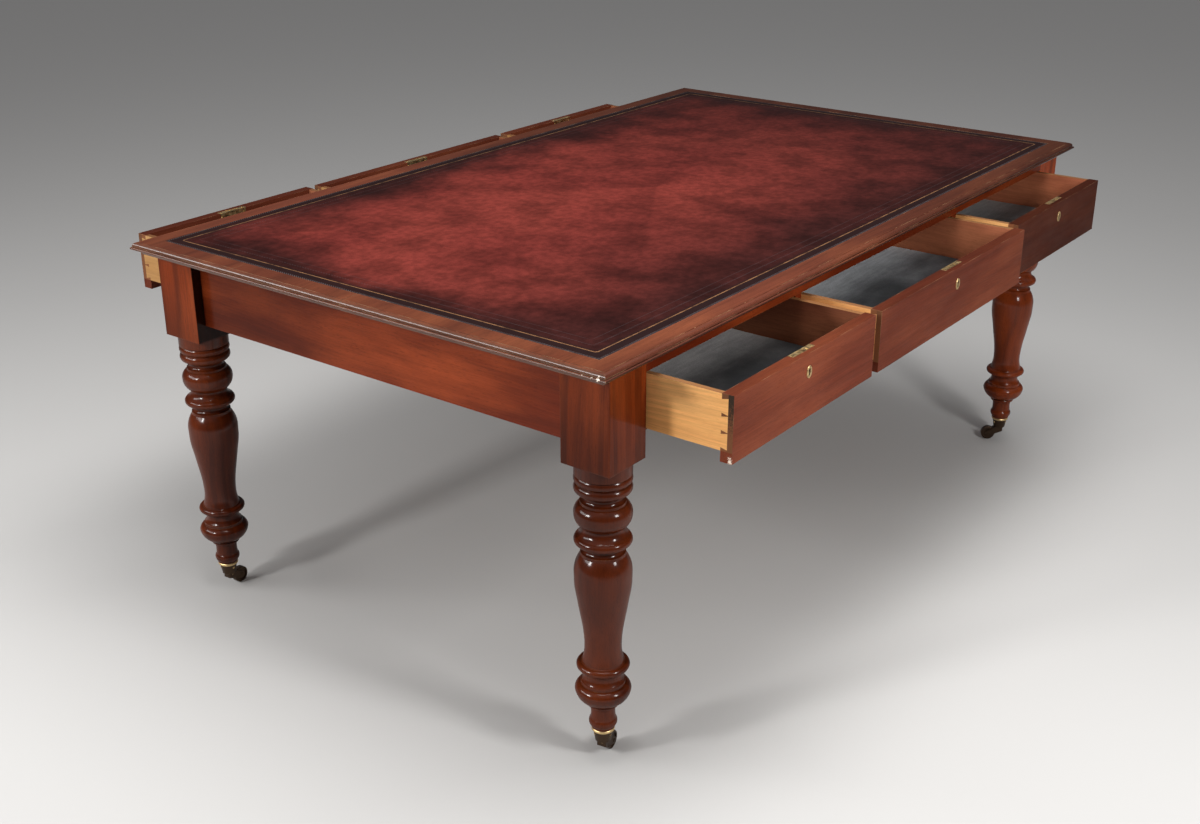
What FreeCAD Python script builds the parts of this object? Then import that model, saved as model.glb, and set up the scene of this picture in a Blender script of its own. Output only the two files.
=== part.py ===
import FreeCAD, Part

import math
import os

from FreeCAD import Vector

# A partners desk: six drawers, three on each long side, under a leather-lined top on four turned legs.
# X runs along the desk, Y across it and Z up from the floor. All lengths are in millimetres.

# Top
desk_height = 762.0
top_length = 1870.0
top_width = 1130.0
top_thickness = 24.0
top_board_count = 4
leather_inset = 47.0
leather_thickness = 1.2
leather_sink = 0.2

# Legs
side_overhang = 24.0
end_overhang = 42.0
leg_square = 98.0
leg_edge_radius = 1.5
turned_radius = 49.0
block_drop = 32.0

# Rails
apron_depth = 136.0
end_rail_thickness = 24.0
end_rail_recess = 20.5
end_tenon_thickness = 12.0
end_tenon_length = 40.0
end_tenon_shoulder = 12.0
upper_rail_thickness = 19.0
upper_rail_depth = 60.0
dovetail_thickness = 14.0
dovetail_length = 28.0
dovetail_root = 26.0
dovetail_tip = 38.0
lower_rail_thickness = 18.5
lower_rail_depth = 60.0
lower_rail_recess = 22.5
lower_tenon_thickness = 10.0
lower_tenon_length = 30.0
lower_tenon_shoulder = 8.0
centre_rail_thickness = 22.0
centre_tenon_thickness = 10.0
centre_tenon_length = 10.0
centre_tenon_shoulder = 15.0
tenon_end_gap = 0.5

# Stiles between the drawers, and what carries and guides the drawers
centre_opening = 630.0
stile_width = 20.0
stile_tenon_thickness = 10.0
stile_tenon_length = 8.0
stile_tenon_shoulder = 8.0
runner_reach = 30.0
guide_thickness = 18.0
guide_height = 40.0

# Drawers
drawer_depth = 512.0
front_thickness = 22.0
front_side_gap = 1.0
front_top_gap = 2.0
side_thickness = 11.0
side_slide_gap = 0.3
side_top_drop = 1.0
front_lap = 10.0
tail_count = 3
pin_shoulder = 6.4
pin_tip = 1.4
top_half_pin = 9.0
bottom_half_pin = 5.8
back_thickness = 10.0
back_top_drop = 13.0
back_pin_count = 3
back_pin_shoulder = 12.0
back_pin_tip = 9.0
bottom_thickness = 7.0
bottom_rise = 4.5
groove_depth = 5.0
groove_end_gap = 0.5

# How far each drawer stands open
front_open = {"left": 161.5, "centre": 161.5, "right": 139.0}
back_open = {"left": 189.5, "centre": 185.0, "right": 186.0}

# Drawer lock, its bolt and the escutcheon
lock_plate_width = 68.0
lock_plate_height = 40.0
lock_plate_thickness = 1.6
lock_case_width = 60.0
lock_case_height = 34.0
lock_case_depth = 10.5
lock_case_wall = 1.2
selvedge_width = 70.0
selvedge_depth = 11.0
selvedge_thickness = 2.0
bolt_width = 28.0
bolt_thickness = 5.0
bolt_height = 24.0
bolt_setback = 15.2
bolt_sink = 0.5
bolt_gap = 0.3
keeper_width = 34.0
keeper_thickness = 7.0
keeper_depth = 10.0
keyhole_drop = 30.0
keyhole_radius = 3.2
keyhole_slot_width = 3.4
keyhole_slot_length = 9.0
drill_pin_radius = 1.4
escutcheon_width = 16.0
escutcheon_height = 22.0
escutcheon_thickness = 1.5
escutcheon_edge_radius = 0.9

# Casters
caster_height = 62.0
cup_bottom_height = 35.0
cup_top_radius = 17.0
cup_bottom_radius = 14.0
cup_wall = 1.5
cup_floor = 3.0
cup_lip_radius = 3.4
swivel_gap = 0.3
pivot_radius = 3.0
pivot_head_radius = 5.0
pivot_head_height = 3.0
pivot_head_gap = 0.4
running_clearance = 0.05
thrust_disc_radius = 11.0
thrust_disc_thickness = 1.5
fork_length = 8.5
fork_depth = 10.7
fork_edge_radius = 3.0
cheek_thickness = 2.5
cheek_boss_radius = 6.5
caster_offset = 27.0
wheel_radius = 17.0
wheel_width = 11.5
wheel_side_gap = 0.5
wheel_fork_gap = 1.0
wheel_rim_width = 4.0
wheel_rim_round = 1.2
wheel_hub_radius = 5.5
wheel_hub_gap = 0.3
wheel_recess = 2.1
axle_radius = 2.5
axle_head_radius = 4.0
axle_head_thickness = 1.2

# The way each caster trails, in degrees round from the desk's right
caster_heading = {
    "front_left": 10.0,
    "back_left": 3.0,
    "front_right": 124.0,
    "back_right": 150.0,
}

# How far a cutting shape runs past the faces it opens
overrun = 2.0

# Places that follow from the sizes
top_underside = desk_height - top_thickness
rail_bottom = top_underside - apron_depth
block_bottom = rail_bottom - block_drop
leg_face_x = top_length / 2 - end_overhang
leg_face_y = top_width / 2 - side_overhang
leg_inner_x = leg_face_x - leg_square
leg_inner_y = leg_face_y - leg_square
leg_axis_x = leg_face_x - leg_square / 2
leg_axis_y = leg_face_y - leg_square / 2
end_rail_outer_x = leg_face_x - end_rail_recess
end_rail_inner_x = end_rail_outer_x - end_rail_thickness
upper_rail_bottom = top_underside - upper_rail_thickness
upper_rail_back_y = leg_face_y - upper_rail_depth
lower_rail_top = rail_bottom + lower_rail_thickness
lower_rail_front_y = leg_face_y - lower_rail_recess
lower_rail_back_y = lower_rail_front_y - lower_rail_depth
centre_rail_face_y = centre_rail_thickness / 2
stile_x = (centre_opening + stile_width) / 2
side_opening = leg_inner_x - stile_x - stile_width / 2
side_drawer_x = leg_inner_x - side_opening / 2
front_top = upper_rail_bottom - front_top_gap
side_bottom = lower_rail_top + side_slide_gap
side_top = front_top - side_top_drop
bottom_underside = lower_rail_top + bottom_rise
bottom_top = bottom_underside + bottom_thickness
back_top = front_top - back_top_drop
keyhole_height = front_top - keyhole_drop
inner_front_y = front_thickness - lock_plate_thickness
case_front_y = inner_front_y - lock_case_depth
slot_half_width = wheel_width / 2 + wheel_side_gap
fork_half_width = slot_half_width + cheek_thickness
fork_top = cup_bottom_height - swivel_gap

# The middle of everything, drawers included, stands over the frame's origin
rest_shift = (max(back_open.values()) - max(front_open.values())) / 2

DRAWER_PLACES = {
    "left": (-side_drawer_x, side_opening),
    "centre": (0, centre_opening),
    "right": (side_drawer_x, side_opening),
}
LEG_PLACES = {
    "front_left": (-1, -1),
    "front_right": (1, -1),
    "back_left": (-1, 1),
    "back_right": (1, 1),
}

UP = Vector(0, 0, 1)
ORIGIN = Vector(0, 0, 0)
ACROSS_X = Vector(1, 0, 0)
ACROSS_Y = Vector(0, 1, 0)

# The leg's turned outline, from the square block down to the caster cup. Each row is one member: how far
# down it ends as a share of the turned length, its radius there as a share of the turned radius, and for a
# round member the same two shares for a place on its curve.
NECK_SHARES = [
    (0.041, 0.986),
    (0.043, 0.945),
    (0.070, 0.935, 0.056, 0.998),
    (0.073, 0.920),
    (0.108, 0.800, 0.090, 0.998),
    (0.111, 0.780),
    (0.112, 0.715),
    (0.135, 0.720, 0.124, 0.655),
    (0.137, 0.780),
    (0.145, 0.790),
    (0.147, 0.837),
    (0.184, 0.997, 0.160, 0.953),
    (0.228, 0.750, 0.210, 0.925),
    (0.230, 0.715),
    (0.262, 0.900, 0.250, 0.770),
    (0.263, 0.930),
    (0.289, 0.930, 0.276, 1.000),
    (0.292, 0.720),
    (0.318, 0.720, 0.306, 0.655),
    (0.320, 0.775),
    (0.330, 0.790),
    (0.405, 0.998, 0.360, 0.945),
]
VASE_SHARES = [
    (0.455, 0.973),
    (0.498, 0.896),
    (0.541, 0.822),
    (0.585, 0.739),
    (0.622, 0.684),
    (0.669, 0.649),
    (0.697, 0.657),
    (0.733, 0.735),
]
FOOT_SHARES = [
    (0.736, 0.775),
    (0.761, 0.780, 0.749, 0.934),
    (0.763, 0.720),
    (0.806, 0.740, 0.785, 0.655),
    (0.809, 0.780),
    (0.819, 0.790),
    (0.842, 0.995, 0.828, 0.935),
    (0.893, 0.600, 0.870, 0.890),
    (0.896, 0.550),
    (0.909, 0.500, 0.903, 0.572),
    (0.911, 0.455),
    (0.955, 0.440, 0.933, 0.430),
    (0.961, 0.455),
    (0.992, 0.425, 0.977, 0.505),
    (0.999, 0.418),
]

# The moulding on the top's edge, from the top face round the nosing to the underside. Each row ends one
# member: its inset from the edge and its drop from the top face, as shares of the top's thickness, then the
# same for a place on its curve where it is round.
MOULDING_SHARES = [
    (0.458, 0.022),
    (0.130, 0.330, 0.226, 0.112),
    (0.170, 0.335),
    (0.170, 0.380),
    (0.085, 0.385),
    (0.085, 0.605, 0.000, 0.495),
    (0.190, 0.625),
    (0.667, 1.000, 0.508, 0.735),
]
MOULDING_START_SHARE = 0.458


def block(x_span, y_span, z_span):
    """A rectangular solid between two places along each axis."""
    low = Vector(x_span[0], y_span[0], z_span[0])
    high = Vector(x_span[1], y_span[1], z_span[1])
    size = high - low
    return Part.makeBox(size.x, size.y, size.z, low)


def centred(middle, width):
    """The two ends of a width about its middle."""
    return (middle - width / 2, middle + width / 2)


def prism(points, run):
    """A solid that carries a flat outline of straight sides along a run."""
    outline = Part.makePolygon(points + [points[0]])
    return Part.Face(outline).extrude(run)


def fuse(shapes):
    """One solid out of shapes that touch, without the seams between their flush faces."""
    whole = shapes[0]
    for shape in shapes[1:]:
        whole = whole.fuse(shape)
    return whole.removeSplitter()


def runs_up(edge):
    return abs(edge.tangentAt(edge.FirstParameter).dot(UP)) == 1


def mirror_x(shape):
    return shape.mirror(ORIGIN, ACROSS_X)


def mirror_y(shape):
    return shape.mirror(ORIGIN, ACROSS_Y)


def four_ways(shape):
    """The shape and its mirror images in the other three quarters of the desk."""
    pair = [shape, mirror_x(shape)]
    return pair + [mirror_y(half) for half in pair]


def save(name, shapes):
    """Write one named piece, or group of like pieces, in the desk's own frame."""
    group = Part.makeCompound(shapes)
    group.translate(Vector(0, -rest_shift, 0))
    group.exportStep("parts/" + name + ".step")


def member_edges(start, rows, place):
    """Edges of an outline, member by member; place turns a pair of shares into a point."""
    edges = []
    here = start
    for row in rows:
        end = place(row[0], row[1])
        if len(row) == 2:
            edges.append(Part.makeLine(here, end))
        else:
            edges.append(Part.Arc(here, place(row[2], row[3]), end).toShape())
        here = end
    return edges, here


# Top


def moulding_waste(length, width):
    """What the moulding plane takes off the edge of a top this long and wide, on its side towards Y."""

    def place(inset_share, drop_share):
        inset = inset_share * top_thickness
        drop = drop_share * top_thickness
        return Vector(-length / 2 - overrun, width / 2 - inset, desk_height - drop)

    start = place(MOULDING_START_SHARE, 0)
    edges, end = member_edges(start, MOULDING_SHARES, place)
    outer_y = width / 2 + overrun
    low = Vector(end.x, outer_y, end.z)
    high = Vector(end.x, outer_y, start.z)
    edges += [Part.makeLine(end, low), Part.makeLine(low, high), Part.makeLine(high, start)]
    return Part.Face(Part.Wire(edges)).extrude(Vector(length + 2 * overrun, 0, 0))


def make_top():
    """Boards glued edge to edge along the desk, moulded all round, with the leather let into them."""
    z_span = (top_underside, desk_height)
    slab = block(centred(0, top_length), centred(0, top_width), z_span)
    long_waste = moulding_waste(top_length, top_width)
    end_waste = moulding_waste(top_width, top_length)
    end_waste.rotate(ORIGIN, UP, -90)
    for waste in (long_waste, mirror_y(long_waste), end_waste, mirror_x(end_waste)):
        slab = slab.cut(waste)
    leather_top = desk_height - leather_sink
    leather_low = leather_top - leather_thickness
    leather_x = centred(0, top_length - 2 * leather_inset)
    leather_y = centred(0, top_width - 2 * leather_inset)
    slab = slab.cut(block(leather_x, leather_y, (leather_low, desk_height + overrun)))
    board_width = top_width / top_board_count
    boards = []
    for number in range(top_board_count):
        low_y = number * board_width - top_width / 2
        strip = block(centred(0, top_length), (low_y, low_y + board_width), z_span)
        boards.append(slab.common(strip))
    save("top_boards", boards)
    save("top_leather", [block(leather_x, leather_y, (leather_low, leather_top))])


# Frame, each piece made in the quarter towards the right and the back


def end_tenon(extra):
    x_span = centred(end_rail_outer_x - end_rail_thickness / 2, end_tenon_thickness)
    y_span = (leg_inner_y, leg_inner_y + end_tenon_length + extra)
    return block(x_span, y_span, (rail_bottom + end_tenon_shoulder, top_underside - end_tenon_shoulder))


def centre_tenon(extra):
    x_span = (end_rail_inner_x, end_rail_inner_x + centre_tenon_length + extra)
    z_span = (rail_bottom + centre_tenon_shoulder, top_underside - centre_tenon_shoulder)
    return block(x_span, centred(0, centre_tenon_thickness), z_span)


def lower_tenon(extra):
    x_span = (leg_inner_x, leg_inner_x + lower_tenon_length + extra)
    y_span = (lower_rail_back_y + lower_tenon_shoulder, lower_rail_front_y - lower_tenon_shoulder)
    return block(x_span, y_span, centred((rail_bottom + lower_rail_top) / 2, lower_tenon_thickness))


def upper_dovetail():
    middle_y = leg_face_y - upper_rail_depth / 2
    low_z = top_underside - dovetail_thickness
    root = centred(middle_y, dovetail_root)
    tip = centred(middle_y, dovetail_tip)
    tip_x = leg_inner_x + dovetail_length
    outline = [
        Vector(leg_inner_x, root[0], low_z),
        Vector(tip_x, tip[0], low_z),
        Vector(tip_x, tip[1], low_z),
        Vector(leg_inner_x, root[1], low_z),
    ]
    return prism(outline, Vector(0, 0, dovetail_thickness))


def stile_upper_tenon(extra):
    y_span = (upper_rail_back_y + stile_tenon_shoulder, leg_face_y - stile_tenon_shoulder)
    z_span = (upper_rail_bottom, upper_rail_bottom + stile_tenon_length + extra)
    return block(centred(stile_x, stile_tenon_thickness), y_span, z_span)


def stile_lower_tenon(extra):
    y_span = (upper_rail_back_y + stile_tenon_shoulder, lower_rail_front_y - stile_tenon_shoulder)
    z_span = (lower_rail_top - stile_tenon_length - extra, lower_rail_top)
    return block(centred(stile_x, stile_tenon_thickness), y_span, z_span)


def turned_shaft():
    """The turned length of a leg with the tenon that fills its caster cup, about the Z axis."""
    turned_length = block_bottom - caster_height

    def place(drop_share, radius_share):
        return Vector(radius_share * turned_radius, 0, block_bottom - drop_share * turned_length)

    start = place(0, NECK_SHARES[0][1])
    neck, vase_top = member_edges(start, NECK_SHARES, place)
    vase_points = [vase_top] + [place(drop, radius) for drop, radius in VASE_SHARES]
    vase = Part.BSplineCurve()
    vase.interpolate(Points=vase_points, InitialTangent=-UP, FinalTangent=vase_points[-1] - vase_points[-2])
    foot, foot_end = member_edges(vase_points[-1], FOOT_SHARES, place)
    tenon_low = cup_bottom_height + cup_floor
    tenon = Part.makePolygon(
        [
            foot_end,
            Vector(cup_top_radius - cup_wall, 0, caster_height),
            Vector(cup_bottom_radius - cup_wall, 0, tenon_low),
            Vector(0, 0, tenon_low),
            Vector(0, 0, block_bottom),
            start,
        ]
    )
    outline = Part.Wire(neck + [vase.toShape()] + foot + tenon.Edges)
    return Part.Face(outline).revolve(ORIGIN, UP, 360)


def make_leg():
    """A leg about its own axis, mortised for the rails of the quarter towards the right and the back."""
    half = leg_square / 2
    head = block((-half, half), (-half, half), (block_bottom, top_underside))
    corners = [edge for edge in head.Edges if runs_up(edge)]
    head = head.makeFillet(leg_edge_radius, corners)
    head.translate(Vector(leg_axis_x, leg_axis_y, 0))
    for mortise in (end_tenon(tenon_end_gap), lower_tenon(tenon_end_gap), upper_dovetail()):
        head = head.cut(mortise)
    shaft = turned_shaft()
    pivot_room = Part.makeCylinder(
        pivot_head_radius + pivot_head_gap,
        2 * pivot_head_gap + pivot_head_height,
        Vector(0, 0, cup_bottom_height + cup_floor),
    )
    shaft = shaft.cut(pivot_room)
    shaft.translate(Vector(leg_axis_x, leg_axis_y, 0))
    return fuse([head, shaft])


def make_legs():
    leg = make_leg()
    for name, (side_x, side_y) in LEG_PLACES.items():
        copy = leg
        if side_x < 0:
            copy = mirror_x(copy)
        if side_y < 0:
            copy = mirror_y(copy)
        save("leg_" + name, [copy])


def make_end_rails():
    x_span = (end_rail_inner_x, end_rail_outer_x)
    board = block(x_span, (-leg_inner_y, leg_inner_y), (rail_bottom, top_underside))
    rail = fuse([board, end_tenon(0), mirror_y(end_tenon(0))])
    rail = rail.cut(centre_tenon(tenon_end_gap))
    save("end_rail_right", [rail])
    save("end_rail_left", [mirror_x(rail)])


def make_upper_rails():
    y_span = (upper_rail_back_y, leg_face_y)
    board = block((-leg_inner_x, leg_inner_x), y_span, (upper_rail_bottom, top_underside))
    rail = fuse([board, upper_dovetail(), mirror_x(upper_dovetail())])
    for drawer_x, _ in DRAWER_PLACES.values():
        keeper = block(
            centred(drawer_x, keeper_width),
            centred(leg_face_y - bolt_setback, keeper_thickness),
            (upper_rail_bottom - overrun, upper_rail_bottom + keeper_depth),
        )
        rail = rail.cut(keeper)
    mortise = stile_upper_tenon(tenon_end_gap)
    rail = rail.cut(mortise).cut(mirror_x(mortise))
    save("upper_rails", [rail, mirror_y(rail)])


def make_lower_rails():
    y_span = (lower_rail_back_y, lower_rail_front_y)
    board = block((-leg_inner_x, leg_inner_x), y_span, (rail_bottom, lower_rail_top))
    rail = fuse([board, lower_tenon(0), mirror_x(lower_tenon(0))])
    mortise = stile_lower_tenon(tenon_end_gap)
    rail = rail.cut(mortise).cut(mirror_x(mortise))
    save("lower_rails", [rail, mirror_y(rail)])


def make_centre_rail():
    x_span = (-end_rail_inner_x, end_rail_inner_x)
    board = block(x_span, (-centre_rail_face_y, centre_rail_face_y), (rail_bottom, top_underside))
    save("centre_rail", [fuse([board, centre_tenon(0), mirror_x(centre_tenon(0))])])


def make_dividers():
    x_span = centred(stile_x, stile_width)
    post = block(x_span, (upper_rail_back_y, leg_face_y), (lower_rail_top, upper_rail_bottom))
    nose = block(x_span, (lower_rail_front_y, leg_face_y), (rail_bottom, lower_rail_top))
    stile = fuse([post, nose, stile_upper_tenon(0), stile_lower_tenon(0)])
    save("dividers", four_ways(stile))


def make_runners_and_guides():
    """Runners level with the lower rails, and a guide strip on each beside the drawer's path."""
    plan = [
        (leg_inner_x - runner_reach, centre_rail_face_y),
        (end_rail_inner_x, centre_rail_face_y),
        (end_rail_inner_x, leg_inner_y),
        (leg_inner_x, leg_inner_y),
        (leg_inner_x, lower_rail_back_y),
        (leg_inner_x - runner_reach, lower_rail_back_y),
    ]
    outline = [Vector(x, y, rail_bottom) for x, y in plan]
    end_runner = prism(outline, Vector(0, 0, lower_rail_thickness))
    guide_z = (lower_rail_top, lower_rail_top + guide_height)
    end_guide_x = (leg_inner_x, leg_inner_x + guide_thickness)
    end_guide = block(end_guide_x, (centre_rail_face_y, leg_inner_y), guide_z)
    inner_runner = block(
        centred(stile_x, stile_width + 2 * runner_reach),
        (centre_rail_face_y, lower_rail_back_y),
        (rail_bottom, lower_rail_top),
    )
    inner_guide = block(centred(stile_x, stile_width), (centre_rail_face_y, upper_rail_back_y), guide_z)
    save("drawer_runners", four_ways(end_runner) + four_ways(inner_runner))
    save("drawer_guides", four_ways(end_guide) + four_ways(inner_guide))


def make_kickers():
    """Strips under the top that keep an open drawer from tipping."""
    y_span = (centre_rail_face_y, upper_rail_back_y)
    z_span = (upper_rail_bottom, top_underside)
    end_kicker = block((leg_inner_x - runner_reach, leg_inner_x), y_span, z_span)
    inner_kicker = block(centred(stile_x, stile_width + 2 * runner_reach), y_span, z_span)
    save("kickers", four_ways(end_kicker) + four_ways(inner_kicker))


# Drawers, each made with its outer face on Y zero and its middle on X zero, running back along Y


def side_tails(half_width, extra):
    """The tails on the front end of the drawer side towards X, out to its face and a little past it."""
    span = side_top - side_bottom - top_half_pin - bottom_half_pin
    pitch = (span + pin_shoulder) / tail_count
    flare = (pin_shoulder - pin_tip) / 2
    inner_x = half_width - side_thickness
    tails = []
    for number in range(tail_count):
        low = side_bottom + bottom_half_pin + number * pitch
        high = low + pitch - pin_shoulder
        outline = [
            Vector(inner_x, front_thickness, low),
            Vector(inner_x, front_thickness, high),
            Vector(inner_x, front_lap, high + flare),
            Vector(inner_x, front_lap, low - flare),
        ]
        tails.append(prism(outline, Vector(side_thickness + extra, 0, 0)))
    return tails


def back_pins(half_width, extra):
    """The pins on the end of the drawer back towards X, which fit between the side's tails."""
    pitch = (back_top - bottom_top) / back_pin_count
    inner_x = half_width - side_thickness
    shoulder_y = drawer_depth - back_thickness
    pins = []
    for number in range(back_pin_count):
        middle = bottom_top + (number + 0.5) * pitch
        shoulder = centred(middle, back_pin_shoulder)
        tip = centred(middle, back_pin_tip)
        outline = [
            Vector(inner_x, shoulder_y, shoulder[0]),
            Vector(inner_x, shoulder_y, shoulder[1]),
            Vector(inner_x, drawer_depth, tip[1]),
            Vector(inner_x, drawer_depth, tip[0]),
        ]
        pins.append(prism(outline, Vector(side_thickness + extra, 0, 0)))
    return pins


def bottom_groove(half_width):
    """The room that the drawer bottom takes in the front and the sides."""
    reach = half_width - side_thickness + groove_depth
    y_span = (front_thickness - groove_depth, drawer_depth + overrun)
    return block((-reach, reach), y_span, (bottom_underside, bottom_top))


def keyhole(y_span):
    """The round and slot of a keyhole between two places along Y."""
    depth = y_span[1] - y_span[0]
    hole = Part.makeCylinder(keyhole_radius, depth, Vector(0, y_span[0], keyhole_height), ACROSS_Y)
    slot_z = (keyhole_height - keyhole_slot_length, keyhole_height)
    return hole.fuse(block(centred(0, keyhole_slot_width), y_span, slot_z))


def lock_rooms():
    """What is cut from a drawer front for its lock: plate, case and selvedge."""
    above = front_top + overrun
    inside = front_thickness + overrun
    plate = block(
        centred(0, lock_plate_width), (inner_front_y, inside), (front_top - lock_plate_height, above)
    )
    case_low = front_top - selvedge_thickness - lock_case_height
    case = block(centred(0, lock_case_width), (case_front_y, inside), (case_low, above))
    selvedge = block(
        centred(0, selvedge_width),
        (front_thickness - selvedge_depth, inside),
        (front_top - selvedge_thickness, above),
    )
    return [plate, case, selvedge]


def drawer_front(half_width):
    board = block((-half_width, half_width), (0, front_thickness), (rail_bottom, front_top))
    for tail in side_tails(half_width, overrun):
        board = board.cut(tail).cut(mirror_x(tail))
    board = board.cut(bottom_groove(half_width))
    for room in lock_rooms():
        board = board.cut(room)
    return board.cut(keyhole((-overrun, front_thickness)))


def drawer_side(half_width):
    """The drawer side towards X."""
    x_span = (half_width - side_thickness, half_width)
    shoulder_y = drawer_depth - back_thickness
    board = block(x_span, (front_thickness, shoulder_y), (side_bottom, side_top))
    rear = block(x_span, (shoulder_y, drawer_depth), (side_bottom, side_top))
    for pin in back_pins(half_width, overrun):
        rear = rear.cut(pin)
    side = fuse([board, rear] + side_tails(half_width, 0))
    return side.cut(bottom_groove(half_width))


def drawer_back(half_width):
    inner_x = half_width - side_thickness
    y_span = (drawer_depth - back_thickness, drawer_depth)
    board = block((-inner_x, inner_x), y_span, (bottom_top, back_top))
    pins = back_pins(half_width, 0)
    return fuse([board] + pins + [mirror_x(pin) for pin in pins])


def drawer_bottom(half_width):
    tongue = groove_depth - groove_end_gap
    reach = half_width - side_thickness + tongue
    y_span = (front_thickness - tongue, drawer_depth)
    return block((-reach, reach), y_span, (bottom_underside, bottom_top))


def drawer_lock():
    """Back plate with the selvedge along its top, and a case in front of it that the bolt rises out of."""
    plate_low = front_top - lock_plate_height
    selvedge_low = front_top - selvedge_thickness
    case_low = selvedge_low - lock_case_height
    plate = block(
        centred(0, lock_plate_width), (inner_front_y, front_thickness), (plate_low, selvedge_low)
    )
    selvedge = block(
        centred(0, selvedge_width),
        (front_thickness - selvedge_depth, front_thickness),
        (selvedge_low, front_top),
    )
    case = block(centred(0, lock_case_width), (case_front_y, inner_front_y), (case_low, selvedge_low))
    room = block(
        centred(0, lock_case_width - 2 * lock_case_wall),
        (case_front_y + lock_case_wall, inner_front_y),
        (case_low + lock_case_wall, selvedge_low),
    )
    slot = block(
        centred(0, bolt_width + 2 * bolt_gap),
        centred(bolt_setback, bolt_thickness + 2 * bolt_gap),
        (selvedge_low - overrun, front_top + overrun),
    )
    drill_pin = Part.makeCylinder(
        drill_pin_radius,
        lock_case_depth - lock_case_wall,
        Vector(0, case_front_y + lock_case_wall, keyhole_height),
        ACROSS_Y,
    )
    shell = case.cut(room).cut(keyhole((case_front_y - overrun, case_front_y + lock_case_wall)))
    return fuse([plate, selvedge.cut(slot), shell, drill_pin])


def escutcheon():
    """An oval plate, domed at its edge, round the keyhole on the drawer's face."""
    middle = Vector(0, -escutcheon_thickness, keyhole_height - keyhole_slot_length / 2 + keyhole_radius / 2)
    top = middle + Vector(0, 0, escutcheon_height / 2)
    side = middle + Vector(escutcheon_width / 2, 0, 0)
    oval = Part.Ellipse(top, side, middle).toShape()
    plate = Part.Face(Part.Wire([oval])).extrude(Vector(0, escutcheon_thickness, 0))
    rim = [edge for edge in plate.Edges if edge.BoundBox.YMax < middle.y / 2]
    plate = plate.makeFillet(escutcheon_edge_radius, rim)
    return plate.cut(keyhole((middle.y - overrun, overrun)))


def drawer_bolt():
    bolt_top = front_top - bolt_sink
    return block(
        centred(0, bolt_width), centred(bolt_setback, bolt_thickness), (bolt_top - bolt_height, bolt_top)
    )


def place_drawer(shape, drawer_x, side_y, opening):
    """A drawer piece turned to face its side of the desk and drawn out as far as it stands open."""
    placed = shape.copy()
    if side_y > 0:
        placed.rotate(ORIGIN, UP, 180)
    placed.translate(Vector(drawer_x, side_y * (leg_face_y + opening), 0))
    return placed


def drawer_pieces(opening_width):
    half_width = opening_width / 2 - front_side_gap
    side = drawer_side(half_width)
    return {
        "front": [drawer_front(half_width)],
        "sides": [mirror_x(side), side],
        "back": [drawer_back(half_width)],
        "bottom": [drawer_bottom(half_width)],
        "lock": [drawer_lock(), escutcheon()],
        "bolt": [drawer_bolt()],
    }


def make_drawers():
    sets = {width: drawer_pieces(width) for width in (side_opening, centre_opening)}
    for bank, side_y, openings in (("front", -1, front_open), ("back", 1, back_open)):
        for place, (drawer_x, width) in DRAWER_PLACES.items():
            for piece, shapes in sets[width].items():
                placed = [place_drawer(shape, drawer_x, side_y, openings[place]) for shape in shapes]
                save("drawer_" + bank + "_" + place + "_" + piece, placed)


# Casters, each made about the leg's axis, trailing along X


def caster_cup():
    """A tapered cup with a rolled lip, open at the top for the leg's tenon and bored below for the pivot."""
    wall = Part.Face(
        Part.Wire(
            [
                *Part.makePolygon(
                    [
                        Vector(cup_top_radius, 0, caster_height - 2 * cup_lip_radius),
                        Vector(cup_bottom_radius, 0, cup_bottom_height),
                        Vector(pivot_radius + running_clearance, 0, cup_bottom_height),
                        Vector(pivot_radius + running_clearance, 0, cup_bottom_height + cup_floor),
                        Vector(cup_bottom_radius - cup_wall, 0, cup_bottom_height + cup_floor),
                        Vector(cup_top_radius - cup_wall, 0, caster_height),
                        Vector(cup_top_radius, 0, caster_height),
                    ]
                ).Edges,
                Part.Arc(
                    Vector(cup_top_radius, 0, caster_height),
                    Vector(cup_top_radius + cup_lip_radius, 0, caster_height - cup_lip_radius),
                    Vector(cup_top_radius, 0, caster_height - 2 * cup_lip_radius),
                ).toShape(),
            ]
        )
    )
    return wall.revolve(ORIGIN, UP, 360)


def tangent_angle(point, centre, radius, way):
    """Where a line from the point touches the circle, as an angle about its centre."""
    across = point - centre
    return math.atan2(across.z, across.x) + way * math.acos(radius / across.Length)


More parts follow.
